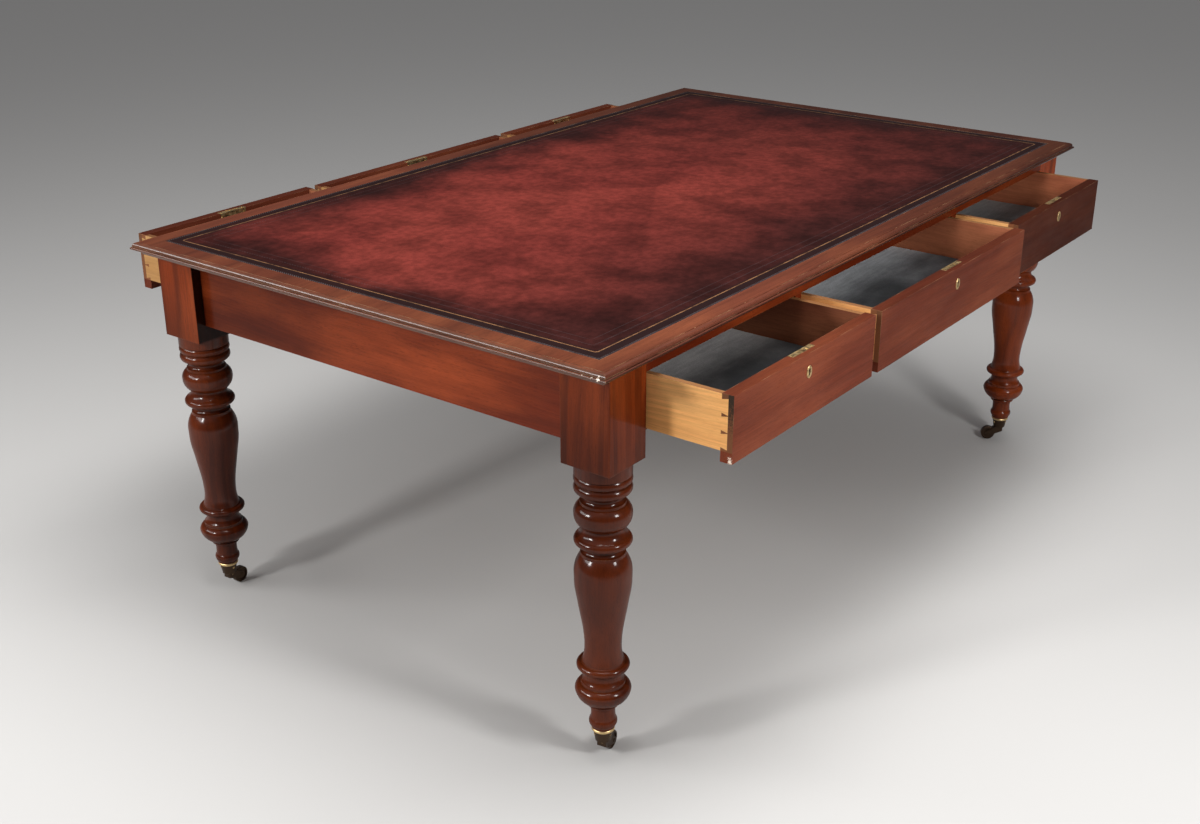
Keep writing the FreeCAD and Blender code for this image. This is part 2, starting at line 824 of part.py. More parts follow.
def caster_fork():
    """A solid yoke cut out round the wheel, with its axle and the pivot riveted over the cup's floor."""
    axle = Vector(caster_offset, 0, wheel_radius)
    front_top_corner = Vector(fork_length, 0, fork_top)
    back_low_corner = Vector(-fork_length, 0, fork_top - fork_depth)
    upper = tangent_angle(front_top_corner, axle, cheek_boss_radius, -1)
    lower = tangent_angle(back_low_corner, axle, cheek_boss_radius, 1) - 2 * math.pi

    def on_boss(angle):
        return axle + cheek_boss_radius * Vector(math.cos(angle), 0, math.sin(angle))

    back_top_corner = Vector(-fork_length, 0, fork_top)
    edges = [
        Part.makeLine(back_low_corner, back_top_corner),
        Part.makeLine(back_top_corner, front_top_corner),
        Part.makeLine(front_top_corner, on_boss(upper)),
        Part.Arc(on_boss(upper), on_boss((upper + lower) / 2), on_boss(lower)).toShape(),
        Part.makeLine(on_boss(lower), back_low_corner),
    ]
    yoke = Part.Face(Part.Wire(edges))
    yoke.translate(Vector(0, -fork_half_width, 0))
    yoke = yoke.extrude(Vector(0, 2 * fork_half_width, 0))
    heel = [edge for edge in yoke.Edges if edge.BoundBox.XMax < -fork_length / 2 and runs_up(edge)]
    yoke = yoke.makeFillet(fork_edge_radius, heel)
    wheel_room = Part.makeCylinder(
        wheel_radius + wheel_fork_gap,
        2 * slot_half_width,
        axle - Vector(0, slot_half_width, 0),
        ACROSS_Y,
    )
    axle_start = axle - Vector(0, fork_half_width + axle_head_thickness, 0)
    axle_length = 2 * (fork_half_width + axle_head_thickness)
    pin = Part.makeCylinder(axle_radius, axle_length, axle_start, ACROSS_Y)
    head = Part.makeCylinder(axle_head_radius, axle_head_thickness, axle_start, ACROSS_Y)
    disc_low = Vector(0, 0, fork_top - thrust_disc_thickness)
    disc = Part.makeCylinder(thrust_disc_radius, thrust_disc_thickness, disc_low)
    head_low = cup_bottom_height + cup_floor + pivot_head_gap
    pivot = Part.makeCylinder(pivot_radius, head_low - fork_top, Vector(0, 0, fork_top))
    pivot_head = Part.makeCylinder(pivot_head_radius, pivot_head_height, Vector(0, 0, head_low))
    return fuse([yoke.cut(wheel_room), pin, head, mirror_y(head), disc, pivot, pivot_head])


def caster_wheel():
    """A wheel turned with a proud rim and hub, about an axis along Y."""
    half = wheel_width / 2
    bore = axle_radius + running_clearance
    hub_half = slot_half_width - wheel_hub_gap
    web_half = half - wheel_recess
    rim_inner = wheel_radius - wheel_rim_width
    flat_radius = wheel_radius - wheel_rim_round
    flat_half = half - wheel_rim_round
    round_share = math.sqrt(0.5)
    bend = Vector(flat_radius + round_share * wheel_rim_round, flat_half + round_share * wheel_rim_round, 0)
    profile = [
        Vector(bore, 0, 0),
        Vector(bore, hub_half, 0),
        Vector(wheel_hub_radius, hub_half, 0),
        Vector(wheel_hub_radius, web_half, 0),
        Vector(rim_inner, web_half, 0),
        Vector(rim_inner, half, 0),
        Vector(flat_radius, half, 0),
    ]
    rim_edge = Vector(wheel_radius, flat_half, 0)
    rim_middle = Vector(wheel_radius, 0, 0)
    edges = Part.makePolygon(profile).Edges
    edges += [
        Part.Arc(profile[-1], bend, rim_edge).toShape(),
        Part.makeLine(rim_edge, rim_middle),
        Part.makeLine(rim_middle, profile[0]),
    ]
    half_wheel = Part.Face(Part.Wire(edges)).revolve(ORIGIN, ACROSS_Y, 360)
    wheel = fuse([half_wheel, mirror_y(half_wheel)])
    wheel.translate(Vector(caster_offset, 0, wheel_radius))
    return wheel


def make_casters():
    cup = caster_cup()
    fork = caster_fork()
    wheel = caster_wheel()
    cups = []
    for name, (side_x, side_y) in LEG_PLACES.items():
        foot = Vector(side_x * leg_axis_x, side_y * leg_axis_y, 0)
        placed = []
        for shape in (cup, fork, wheel):
            copy = shape.copy()
            copy.rotate(ORIGIN, UP, caster_heading[name])
            copy.translate(foot)
            placed.append(copy)
        cups.append(placed[0])
        save("caster_fork_" + name, [placed[1]])
        save("caster_wheel_" + name, [placed[2]])
    save("caster_cups", cups)


os.makedirs("parts", exist_ok=True)
make_top()
make_legs()
make_end_rails()
make_upper_rails()
make_lower_rails()
make_centre_rail()
make_dividers()
make_runners_and_guides()
make_kickers()
make_drawers()
make_casters()
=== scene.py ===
"""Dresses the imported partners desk: polished mahogany, tooled leather, lined drawers and old brass."""

import math
import random

import bmesh
import bpy
from bpy.props import FloatProperty, FloatVectorProperty, IntProperty, PointerProperty
from bpy.types import Operator, Panel, PropertyGroup
from mathutils import Matrix, Vector


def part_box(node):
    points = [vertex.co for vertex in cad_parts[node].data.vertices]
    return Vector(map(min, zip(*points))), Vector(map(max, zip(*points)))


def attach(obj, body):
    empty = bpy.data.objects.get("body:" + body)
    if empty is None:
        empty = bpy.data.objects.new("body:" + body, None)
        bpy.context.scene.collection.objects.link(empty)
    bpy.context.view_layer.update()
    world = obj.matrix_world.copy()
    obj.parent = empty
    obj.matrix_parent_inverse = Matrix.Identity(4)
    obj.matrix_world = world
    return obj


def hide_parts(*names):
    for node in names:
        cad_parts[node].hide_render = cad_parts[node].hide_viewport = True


bl_info = {
    "name": "Partners Desk",
    "version": (1, 0, 0),
    "blender": (4, 5, 0),
    "location": "3D View > Sidebar > Desk",
    "description": "Finishes the wood, leather, paper and brass of a partners desk with six drawers",
    "category": "Object",
}

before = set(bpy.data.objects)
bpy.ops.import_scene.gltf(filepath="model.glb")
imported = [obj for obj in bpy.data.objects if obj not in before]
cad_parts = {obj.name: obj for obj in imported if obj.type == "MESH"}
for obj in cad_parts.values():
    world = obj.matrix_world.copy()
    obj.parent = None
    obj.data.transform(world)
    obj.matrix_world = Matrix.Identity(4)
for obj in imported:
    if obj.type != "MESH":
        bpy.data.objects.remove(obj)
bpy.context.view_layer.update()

BANKS = {"front": -1, "back": 1}
COLUMNS = ("left", "centre", "right")
DRAWERS = [f"drawer_{bank}_{column}" for bank in BANKS for column in COLUMNS]
LEGS = ("front_left", "front_right", "back_left", "back_right")
# Where each wood is, and the colours of its bright figure, its main tone and its dark rings
WOODS = {
    "polished": ("in the mahogany", (0.29, 0.051, 0.012), (0.123, 0.0160, 0.0035), (0.047, 0.0068, 0.0025)),
    "front": ("in the drawer fronts", (0.24, 0.060, 0.026), (0.138, 0.030, 0.0145), (0.066, 0.0140, 0.0075)),
    "leg": ("in the turned legs", (0.150, 0.027, 0.0055), (0.066, 0.0100, 0.0016), (0.018, 0.0030, 0.0008)),
    "top": ("in the top's boards", (0.27, 0.080, 0.034), (0.145, 0.038, 0.019), (0.062, 0.018, 0.011)),
    "side": ("in the drawer sides", (0.92, 0.53, 0.210), (0.74, 0.37, 0.125), (0.55, 0.24, 0.075)),
    "inside": ("inside the drawers", (0.25, 0.090, 0.042), (0.16, 0.048, 0.023), (0.09, 0.025, 0.013)),
    "plain": ("in the bare carcase wood", (0.33, 0.18, 0.092), (0.22, 0.105, 0.050), (0.115, 0.050, 0.024)),
}

# What sets each piece's polished wood apart
LEG_FINISH = {"rings": 0.6, "clouds": 0.5, "hollows": 0.9, "wear": 0.25, "coat": 0.42, "sheen": 0.14}
END_RAIL_FINISH = {"rings": 0.3, "clouds": 0.8, "shade_along_y": (-0.20, 0.32)}
RAIL_FINISH = {"rings": 0.5, "wear": 0.3}
FRONT_FINISH = {"rings": 0.3, "clouds": 0.7, "hollows": 0.6, "wear": 0.5}
# How light each front drawer's front is as painted shade, how much polish it has left and how dirty its ends
# are
FRONT_SHADE_AND_WEAR = {
    "drawer_front_left": {"gain": 1.0, "coat": 0.07, "dirt": 1.0},
    "drawer_front_centre": {"gain": 0.86, "coat": 0.07, "dirt": 0.45},
    "drawer_front_right": {"gain": 0.42, "coat": 0.02, "dirt": 0.45},
}
BACK_FRONT_SHADE_AND_WEAR = {"gain": 0.8, "coat": 0.07, "dirt": 0.45}
# How light the wood of a front drawer's sides and back is, outside and inside, as painted light and shade
DRAWER_SHADE_GAINS = {
    "drawer_front_left": (1.08, 1.15),
    "drawer_front_centre": (0.9, 1.9),
    "drawer_front_right": (0.8, 2.1),
}
BACK_DRAWER_SHADE_GAINS = (0.46, 1.5)
# How light each leg is against the legs' tones, as painted light and shade
LEG_SHADE_GAINS = {"front_left": 0.85, "front_right": 2.1, "back_left": 1.05, "back_right": 1.1}

# Places and radii of the pale chips in the moulding by the top's near corner
TOP_CHIPS = (
    ((-0.934, -0.5165, 0.7545), 0.0011),
    ((-0.934, -0.5330, 0.7540), 0.0014),
    ((-0.934, -0.5515, 0.7535), 0.0016),
    ((-0.934, -0.5640, 0.7530), 0.0030),
)
# The drawer front that is chipped, how far its chip lies in from its corner, and the chip's radius
CHIPPED_DRAWER = "drawer_front_left"
FRONT_CHIP_INSET = 0.004
FRONT_CHIP_RADIUS = 0.0036

# Sizes and places of the solids that the finishes and the screws follow
TOP_BOARDS = 4
LEG_HEAD = 0.570
FRONT_LAP = 0.0102
DRAWER_WALL = 0.011
CENTRE_DRAWER_REACH = 0.325
CUP_RIM_DEPTH = 0.0066
CUP_FOOT_HEIGHT = 0.035
CUP_FOOT_RADIUS = 0.014
CUP_FLARE = 0.003 / 0.0202

# Where the screws stand
CUP_SCREW_HEIGHT = 0.0485
LOCK_SCREW_REACH = 0.0295
LOCK_SCREW_DROPS = (0.010, 0.033)
SELVEDGE_SCREW_SETBACK = 0.0055
BOTTOM_SCREW_SHARES = (0.12, 0.5, 0.88)

# The camera as it stood for the photograph
CAMERA_PLACE = (-2.5923, -1.8206, 1.5958)
CAMERA_YAW = 0.9238
CAMERA_PITCH = 0.4066
CAMERA_ROLL = math.radians(-0.05)
CAMERA_LENS = 45.2
CAMERA_SENSOR = 36.0

# Each lamp's place and aim, its share of the key power, and its width and height as shares of the key size
LAMPS = {
    "softbox_left": ((-3.30, 0.65, 1.85), (-0.5, -0.2, 0.45), 0.46, 0.6, 1.05),
    "softbox_right": ((-0.64, -2.43, 1.65), (-0.3, -0.3, 0.45), 0.38, 0.65, 1.1),
    "window": ((-3.10, 1.90, 1.95), (-0.9, 0.0, 0.75), 0.62, 4.3, 1.2),
    "overhead": ((-0.3, -0.7, 3.3), (-0.1, -0.2, 0.0), 1.1, 4.4, 2.2),
}

# Turns that bring a piece's grain onto X, where the figure runs
ALONG_X = (0.0, 0.0, 0.0)
ALONG_Y = (0.0, 0.0, math.radians(90))
ALONG_Z = (0.0, math.radians(90), 0.0)


# Sizes and colours


def tint(name, description, default):
    return FloatVectorProperty(
        name=name, description=description, subtype="COLOR", size=3, min=0.0, max=1.0, default=default
    )


def length(name, description, default):
    return FloatProperty(
        name=name,
        description=description,
        subtype="DISTANCE",
        unit="LENGTH",
        min=0.0,
        precision=5,
        default=default,
    )


def wood_tones():
    """A described tint for each wood's bright figure, main tone and dark rings."""
    kinds = {"light": "Bright figure", "middle": "Main tone", "dark": "Dark rings"}
    tones = {}
    for wood, (where, *colors) in WOODS.items():
        for (kind, what), color in zip(kinds.items(), colors):
            tones[f"{wood}_{kind}"] = tint(f"{wood} {kind}".capitalize(), f"{what} {where}", color)
    return tones


class DeskWood(PropertyGroup):
    """Tones of the polished and plain wood."""

    __annotations__ = wood_tones()
    side_edge: tint("Side edge", "Reddened upper edges of the drawer sides", (0.10, 0.034, 0.014))
    worn: tint("Worn edge", "Wood laid bare where an edge is knocked or rubbed", (0.45, 0.26, 0.14))
    end_wood: tint("End wood", "End wood of the drawer fronts", (0.20, 0.075, 0.032))
    end_dirt: tint("End dirt", "Dirt in the end wood of the drawer fronts", (0.034, 0.022, 0.015))
    chipped: tint("Chipped", "Pale wood where a corner or a moulding is chipped", (0.80, 0.66, 0.54))
    cut_end: tint("Cut end", "Brown of the top's moulding where it is cut across", (0.075, 0.032, 0.016))
    joint: tint("Joint", "Dark line where two of the top's boards meet", (0.02, 0.009, 0.006))


class DeskLeather(PropertyGroup):
    """Tones and tooling of the writing leather."""

    bright: tint("Bright", "Leather rubbed brightest, in the middle", (0.125, 0.0205, 0.015))
    red: tint("Red", "Main tone of the leather", (0.102, 0.0158, 0.0122))
    # Besides the stain, this tone carries the painted shade along the near side and to the right
    shade: tint("Shade", "Stain worked in from the edges", (0.018, 0.0048, 0.0042))
    rim: tint("Rim", "Nearly black stain outside the gilt line", (0.0115, 0.0055, 0.0055))
    gilt: tint("Gilt", "Old gold leaf in the tooled line", (0.33, 0.165, 0.075))
    # Partly a painted sheen on the tooled lines
    bloom_and_sheen: tint("Bloom", "Greyed leather on the tooling's ridges", (0.098, 0.086, 0.092))
    rope_inset: length("Rope inset", "From the leather's edge to the rope roll along it", 0.0028)
    rope_width: length("Rope width", "Width of the rope roll", 0.0046)
    rope_pitch: length("Rope pitch", "From one stroke of the rope roll to the next", 0.0052)
    gilt_inset: length("Gilt inset", "From the leather's edge to the gilt line", 0.023)
    gilt_width: length("Gilt width", "Width of the gilt line", 0.0021)
    bead_inset: length("Bead inset", "From the leather's edge to the beaded blind line", 0.045)
    bead_width: length("Bead width", "Width of the beaded blind line", 0.0030)
    bead_pitch: length("Bead pitch", "From one bead of the blind line to the next", 0.0068)
    fine_inset: length("Fine inset", "From the leather's edge to the fine blind line", 0.063)
    fine_width: length("Fine width", "Width of the fine blind line", 0.0014)
    corner_radius: length("Corner radius", "Rounding of the tooled lines' corners", 0.006)
    skived_edge: length("Skived edge", "Rounding of the leather's cut edge", 0.0007)


class DeskLining(PropertyGroup):
    """The drawers' lining paper."""

    paper: tint("Paper", "Nearly black tone of the lining paper", (0.013, 0.0135, 0.0145))
    # The two pale tones are painted light where light falls into a drawer, and the reach is that of the
    # painted shadow of its front
    rubbed: tint("Rubbed", "Paper rubbed pale by what lay on it", (0.36, 0.345, 0.337))
    painted_sheen: tint("Faded", "Paper faded in the wide middle drawers", (0.58, 0.60, 0.62))
    shadow_reach: length("Dark reach", "From a drawer's front to where its paper is rubbed pale", 0.25)
    thickness: length("Thickness", "Thickness of the paper with its paste", 0.0004)
    gap: length("Gap", "From the paper to the drawer's walls", 0.0012)
    ripple: length("Ripple", "How far the paper has cockled", 0.0006)


class DeskBrass(PropertyGroup):
    """Tones of the brass."""

    bright: tint("Bright", "Brass that hands keep clean", (0.78, 0.56, 0.27))
    aged: tint("Aged", "Dull brass", (0.34, 0.21, 0.085))
    tarnish: tint("Tarnish", "Brown tarnish in the hollows", (0.060, 0.034, 0.018))
    caster: tint("Caster", "Nearly black brass of the casters", (0.075, 0.048, 0.032))


class DeskScrews(PropertyGroup):
    """The heads that show of the desk's screws."""

    lock_radius: length("Lock screw radius", "Radius of a lock screw's head", 0.0031)
    caster_radius: length("Caster screw radius", "Radius of a caster screw's head", 0.0024)
    bottom_radius: length("Bottom screw radius", "Radius of a drawer bottom screw's head", 0.0038)
    height: length("Height", "How far a head stands proud", 0.0006)
    sides: IntProperty(name="Sides", description="Sides of a head's round edge", default=20, min=8)


class DeskStage(PropertyGroup):
    """Floor and light."""

    floor: tint("Floor", "Plain pale floor", (0.46, 0.452, 0.440))
    floor_size: length("Floor size", "Side of the floor", 90.0)
    sky_low: tint("Low sky", "Light from near the horizon", (0.06, 0.06, 0.065))
    sky_high: tint("High sky", "Light from overhead", (0.55, 0.55, 0.56))
    key_power: FloatProperty(
        name="Key power",
        description="Power that each lamp has a share of",
        unit="POWER",
        default=95.0,
        min=0.0,
    )
    key_size: length("Key size", "Breadth that the lamps are sized by", 0.6)


# Node helpers


def add(tree, kind, inputs=None, **options):
    """A node with its options set, and its sockets given values or links."""
    node = tree.nodes.new(kind)
    for name, value in options.items():
        setattr(node, name, value)
    for name, value in (inputs or {}).items():
        if isinstance(value, bpy.types.NodeSocket):
            tree.links.new(value, node.inputs[name])
        else:
            node.inputs[name].default_value = value
    return node


def calc(tree, operation, *terms):
    inputs = dict(enumerate(terms))
    return add(tree, "ShaderNodeMath", inputs, operation=operation).outputs[0]


def calc_vector(tree, operation, *terms):
    inputs = dict(enumerate(terms))
    node = add(tree, "ShaderNodeVectorMath", inputs, operation=operation)
    return node.outputs["Value" if operation in ("LENGTH", "DOT_PRODUCT") else "Vector"]


def scaled(tree, vector, factor):
    inputs = {"Vector": vector, "Scale": factor}
    return add(tree, "ShaderNodeVectorMath", inputs, operation="SCALE").outputs["Vector"]


def product(tree, value, *factors):
    for factor in factors:
        value = calc(tree, "MULTIPLY", value, factor)
    return value


def jitter(tree, value, noise, amount):
    """A value moved up and down by a noise."""
    return calc(tree, "MULTIPLY_ADD", calc(tree, "SUBTRACT", noise, 0.5), amount, value)


def axis(tree, vector, name):
    return add(tree, "ShaderNodeSeparateXYZ", {"Vector": vector}).outputs[name]


def fade(tree, value, start, end, low=0.0, high=1.0):
    """Low before start, high after end and a soft step between."""
    names = ("Value", "From Min", "From Max", "To Min", "To Max")
    inputs = dict(zip(names, (value, start, end, low, high)))
    return add(tree, "ShaderNodeMapRange", inputs, interpolation_type="SMOOTHSTEP").outputs["Result"]


def mix(tree, factor, low, high):
    inputs = {0: factor, 6: rgba(low), 7: rgba(high)}
    return add(tree, "ShaderNodeMix", inputs, data_type="RGBA").outputs[2]


def rgba(color):
    return color if isinstance(color, bpy.types.NodeSocket) else (*color, 1.0)[:4]


def speckle(tree, vector, spread=(1.0, 1.0, 1.0), scale=1.0, detail=2.0, roughness=0.5, output=0):
    """Noise over places stretched by a spread."""
    place = calc_vector(tree, "MULTIPLY", vector, spread)
    inputs = {"Vector": place, "Scale": scale, "Detail": detail, "Roughness": roughness}
    return add(tree, "ShaderNodeTexNoise", inputs).outputs[output]


def openness(tree, reach):
    """How open a spot is: nothing deep in a corner, one on a free face."""
    inputs = {"Distance": reach}
    return add(tree, "ShaderNodeAmbientOcclusion", inputs, samples=6, only_local=True).outputs["AO"]


def new_group(name, inputs, outputs):
    """An empty node group with its sockets, what they give inside it and what it puts out."""
    tree = bpy.data.node_groups.new(name, "ShaderNodeTree")
    for label, kind in inputs.items():
        tree.interface.new_socket(name=label, in_out="INPUT", socket_type="NodeSocket" + kind)
    for label, kind in outputs.items():
        tree.interface.new_socket(name=label, in_out="OUTPUT", socket_type="NodeSocket" + kind)
    return tree, add(tree, "NodeGroupInput").outputs, add(tree, "NodeGroupOutput").inputs


def use(tree, group, inputs):
    """A shared effect placed in a material with its own values."""
    return add(tree, "ShaderNodeGroup", inputs, node_tree=bpy.data.node_groups[group]).outputs


# Shared effects


def make_wood_figure():
    """Rings, clouds, fibres and pores of wood whose grain runs along X."""
    colors = {"Light": "Color", "Middle": "Color", "Dark": "Color"}
    given = {"Vector": "Vector", "Seed": "Float", **colors, "Rings": "Float", "Clouds": "Float"}
    tree, given, made = new_group("Wood Figure", given, {"Color": "Color", "Grain": "Float"})
    place = calc_vector(tree, "ADD", given["Vector"], scaled(tree, (7.31, 1.73, 3.19), given["Seed"]))
    drift = speckle(tree, place, (1.1, 6.0, 6.0), output="Color")
    drift = calc_vector(tree, "SUBTRACT", drift, (0.5, 0.5, 0.5))
    drift = calc_vector(tree, "MULTIPLY", drift, (0.0, 0.07, 0.07))
    bent = calc_vector(tree, "ADD", place, drift)
    across = calc_vector(tree, "MULTIPLY_ADD", bent, (0.02, 1.0, 1.0), (0.0, -0.43, 0.26))
    radius = calc_vector(tree, "LENGTH", across)
    ring_inputs = {"W": radius, "Scale": 62.0, "Detail": 2.0}
    rings = add(tree, "ShaderNodeTexNoise", ring_inputs, noise_dimensions="1D").outputs[0]
    rings = product(tree, fade(tree, rings, 0.30, 0.68, 1.0, 0.0), given["Rings"])
    clouds = speckle(tree, place, (2.6, 10.0, 10.0), detail=3.0)
    clouds = product(tree, fade(tree, clouds, 0.40, 0.70), given["Clouds"])
    fibres = speckle(tree, bent, (7.0, 330.0, 330.0), detail=3.0, roughness=0.6)
    pores = speckle(tree, bent, (95.0, 1100.0, 1100.0), detail=0.0)
    pores = fade(tree, pores, 0.62, 0.72)
    color = mix(tree, rings, given["Middle"], given["Dark"])
    color = mix(tree, clouds, color, given["Light"])
    color = scaled(tree, color, fade(tree, fibres, 0.25, 0.75, 0.86, 1.12))
    color = mix(tree, product(tree, pores, 0.30), color, given["Dark"])
    tree.links.new(color, made["Color"])
    tree.links.new(calc(tree, "SUBTRACT", product(tree, fibres, 0.5), pores), made["Grain"])


def make_settled_polish_and_shade():
    """Polish and dirt gathered in the quirks and corners, with painted shade where a spot is closed in."""
    given = {"Color": "Color", "Reach": "Float", "Amount": "Float"}
    tree, given, made = new_group("Settled Polish", given, {"Color": "Color"})
    # Painted shade: the colour darkens towards 0.22 of itself where ambient occlusion closes a spot in
    mask = product(tree, fade(tree, openness(tree, given["Reach"]), 0.30, 0.92, 1.0, 0.0), given["Amount"])
    dark = scaled(tree, given["Color"], 0.22)
    tree.links.new(mix(tree, mask, given["Color"], dark), made["Color"])


def make_rubbed_edge():
    """Edges rubbed bare here and there, and knocked in a few spots."""
    given = {"Vector": "Vector", "Color": "Color", "Bare": "Color", "Radius": "Float", "Wear": "Float"}
    tree, given, made = new_group("Rubbed Edge", given, {"Color": "Color"})
    rounded = add(tree, "ShaderNodeBevel", {"Radius": given["Radius"]}, samples=4).outputs[0]
    normal = add(tree, "ShaderNodeNewGeometry").outputs["Normal"]
    edge = calc(tree, "SUBTRACT", 1.0, calc_vector(tree, "DOT_PRODUCT", rounded, normal))
    edge = fade(tree, edge, 0.01, 0.16)
    rub = fade(tree, speckle(tree, given["Vector"], scale=22.0, detail=3.0), 0.42, 0.68)
    chips = fade(tree, speckle(tree, given["Vector"], scale=95.0), 0.66, 0.70)
    rub = calc(tree, "MAXIMUM", rub, chips)
    mask = product(tree, edge, rub, given["Wear"])
    tree.links.new(mix(tree, mask, given["Color"], given["Bare"]), made["Color"])


def make_handled_gloss():
    """Roughness that varies with handling: dull patches and faint rubs."""
    given = {"Vector": "Vector", "Glossy": "Float", "Dull": "Float"}
    tree, given, made = new_group("Handled Gloss", given, {"Roughness": "Float"})
    patches = speckle(tree, given["Vector"], scale=5.0, detail=4.0, roughness=0.65)
    rubs = speckle(tree, given["Vector"], (12.0, 90.0, 90.0))
    blend = calc(tree, "MULTIPLY_ADD", rubs, 0.35, product(tree, patches, 0.65))
    tree.links.new(fade(tree, blend, 0.35, 0.65, given["Glossy"], given["Dull"]), made["Roughness"])


def make_tooled_line():
    """A line tooled round the leather at an inset, its corners rounded."""
    low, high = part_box("top_leather")
    half = (high - low) / 2
    given = {"Quarter": "Vector", "Inset": "Float", "Radius": "Float", "Width": "Float"}
    tree, given, made = new_group("Tooled Line", given, {"Mask": "Float"})
    back = calc(tree, "ADD", given["Inset"], given["Radius"])
    back = add(tree, "ShaderNodeCombineXYZ", {"X": back, "Y": back}).outputs[0]
    corner = calc_vector(tree, "SUBTRACT", (half.x, half.y, 10.0), back)
    beyond = calc_vector(tree, "SUBTRACT", given["Quarter"], corner)
    beyond = calc_vector(tree, "MAXIMUM", beyond, (0.0, 0.0, 0.0))
    off = calc(tree, "SUBTRACT", calc_vector(tree, "LENGTH", beyond), given["Radius"])
    off = calc(tree, "ABSOLUTE", off)
    edge = product(tree, given["Width"], 0.5)
    tree.links.new(fade(tree, off, edge, calc(tree, "ADD", edge, 0.0005), 1.0, 0.0), made["Mask"])


# Materials


def new_material(name, specular=0.5, coat=0.0, sheen=0.03):
    """A material with a shine and a coat of polish, its tree, shader, object coordinates and normal."""
    material = bpy.data.materials.new(name)
    material.use_nodes = True
    tree = material.node_tree
    shader = tree.nodes["Principled BSDF"]
    shader.inputs["Specular IOR Level"].default_value = specular
    shader.inputs["Coat Weight"].default_value = coat
    shader.inputs["Coat Roughness"].default_value = sheen
    place = add(tree, "ShaderNodeTexCoord").outputs
    return material, tree, shader, place["Object"], place["Normal"]


def feed(tree, shader, **sockets):
    for socket, value in sockets.items():
        tree.links.new(value, shader.inputs[socket.replace("_", " ")])


def surface(tree, shader, color, gloss, height, strength, distance):
    """Feeds a material its colour, its roughness and a relief's height."""
    inputs = {"Height": height, "Strength": strength, "Distance": distance}
    relief = add(tree, "ShaderNodeBump", inputs).outputs[0]
    feed(tree, shader, Base_Color=color, Roughness=gloss, Normal=relief)


def turned(tree, vector, turn):
    return add(tree, "ShaderNodeMapping", {"Vector": vector, "Rotation": turn}).outputs[0]


def wood_figure(tree, vector, tones, seed, rings, clouds, gain=1.0):
    """A wood's figure and grain in its light, middle and dark tones, all lightened or darkened by a gain."""
    wood = bpy.context.scene.desk_wood
    inputs = {"Vector": vector, "Seed": seed, "Rings": rings, "Clouds": clouds}
    for tone in ("light", "middle", "dark"):
        shares = getattr(wood, f"{tones}_{tone}")
        inputs[tone.capitalize()] = rgba([min(1.0, share * gain) for share in shares])
    return use(tree, "Wood Figure", inputs)


# Settled polish and dirt, with painted shade in hollows and corners
def settle_and_shade(tree, color, reach, amount):
    return use(tree, "Settled Polish", {"Color": color, "Reach": reach, "Amount": amount})["Color"]


def rub_edges(tree, spot, color, bare, radius, wear):
    inputs = {"Vector": spot, "Color": color, "Bare": rgba(bare), "Radius": radius, "Wear": wear}
    return use(tree, "Rubbed Edge", inputs)["Color"]


def handled_gloss(tree, spot, glossy, dull):
    return use(tree, "Handled Gloss", {"Vector": spot, "Glossy": glossy, "Dull": dull})["Roughness"]


def chip(tree, spot, color, chips):
    """A colour with small ragged chips of bare pale wood in it, twice as tall as they are wide."""
    if not chips:
        return color
    ragged = speckle(tree, spot, scale=480.0)
    for place, radius in chips:
        off = calc_vector(tree, "MULTIPLY", calc_vector(tree, "SUBTRACT", spot, place), (1.0, 1.0, 0.5))
        off = calc(tree, "MULTIPLY_ADD", ragged, radius * 4.0, calc_vector(tree, "LENGTH", off))
        bare = fade(tree, off, radius * 2.8, radius * 2.9, 1.0, 0.0)
        color = mix(tree, bare, color, bpy.context.scene.desk_wood.chipped)
    return color


def shade_leg(tree, shader, spot, normal, color, inward, coat):
    """A leg's square head: less polished, lighter towards the top, painted shade on the faces by the rail."""
    rise = axis(tree, spot, "Z")
    square = fade(tree, rise, LEG_HEAD - 0.004, LEG_HEAD + 0.004)
    outer = fade(tree, rise, LEG_HEAD - 0.02, LEG_HEAD + 0.15, 1.25, 2.35)
    inner = calc_vector(tree, "DOT_PRODUCT", normal, (0.0, inward, 0.0))
    # Painted shadow: faces that look to the rail darken to 0.2 of the wood's tone
    gain = calc(tree, "SUBTRACT", fade(tree, inner, 0.7, 0.95, outer, 0.2), 1.0)
    feed(tree, shader, Coat_Weight=calc(tree, "MULTIPLY_ADD", square, 0.2 - coat, coat))
    return scaled(tree, color, calc(tree, "MULTIPLY_ADD", gain, square, 1.0))


def shade_front(tree, spot, normal, color, face_y, foot, dirt):
    """A drawer front's dull upper edge, and its end wood above the lip, dirtiest where it laps the side."""
    wood = bpy.context.scene.desk_wood
    color = scaled(tree, color, fade(tree, axis(tree, normal, "Z"), 0.6, 0.9, 1.0, 0.55))
    rise = axis(tree, spot, "Z")
    cut = fade(tree, calc(tree, "ABSOLUTE", axis(tree, normal, "X")), 0.6, 0.9)
    cut = product(tree, cut, fade(tree, rise, foot - 0.001, foot + 0.001))
    color = mix(tree, cut, color, wood.end_wood)
    lap = calc(tree, "ABSOLUTE", axis(tree, spot, "Y"))
    lap = calc(tree, "SUBTRACT", lap, abs(face_y) - FRONT_LAP)
    specks = speckle(tree, spot, scale=420.0)
    settled = fade(tree, jitter(tree, rise, specks, 0.10), foot + 0.025, foot + 0.085, 0.25, dirt)
    settled = product(tree, settled, fade(tree, lap, -0.0003, 0.0003, 0.35, 1.0))
    return mix(tree, product(tree, cut, settled), color, wood.end_dirt)


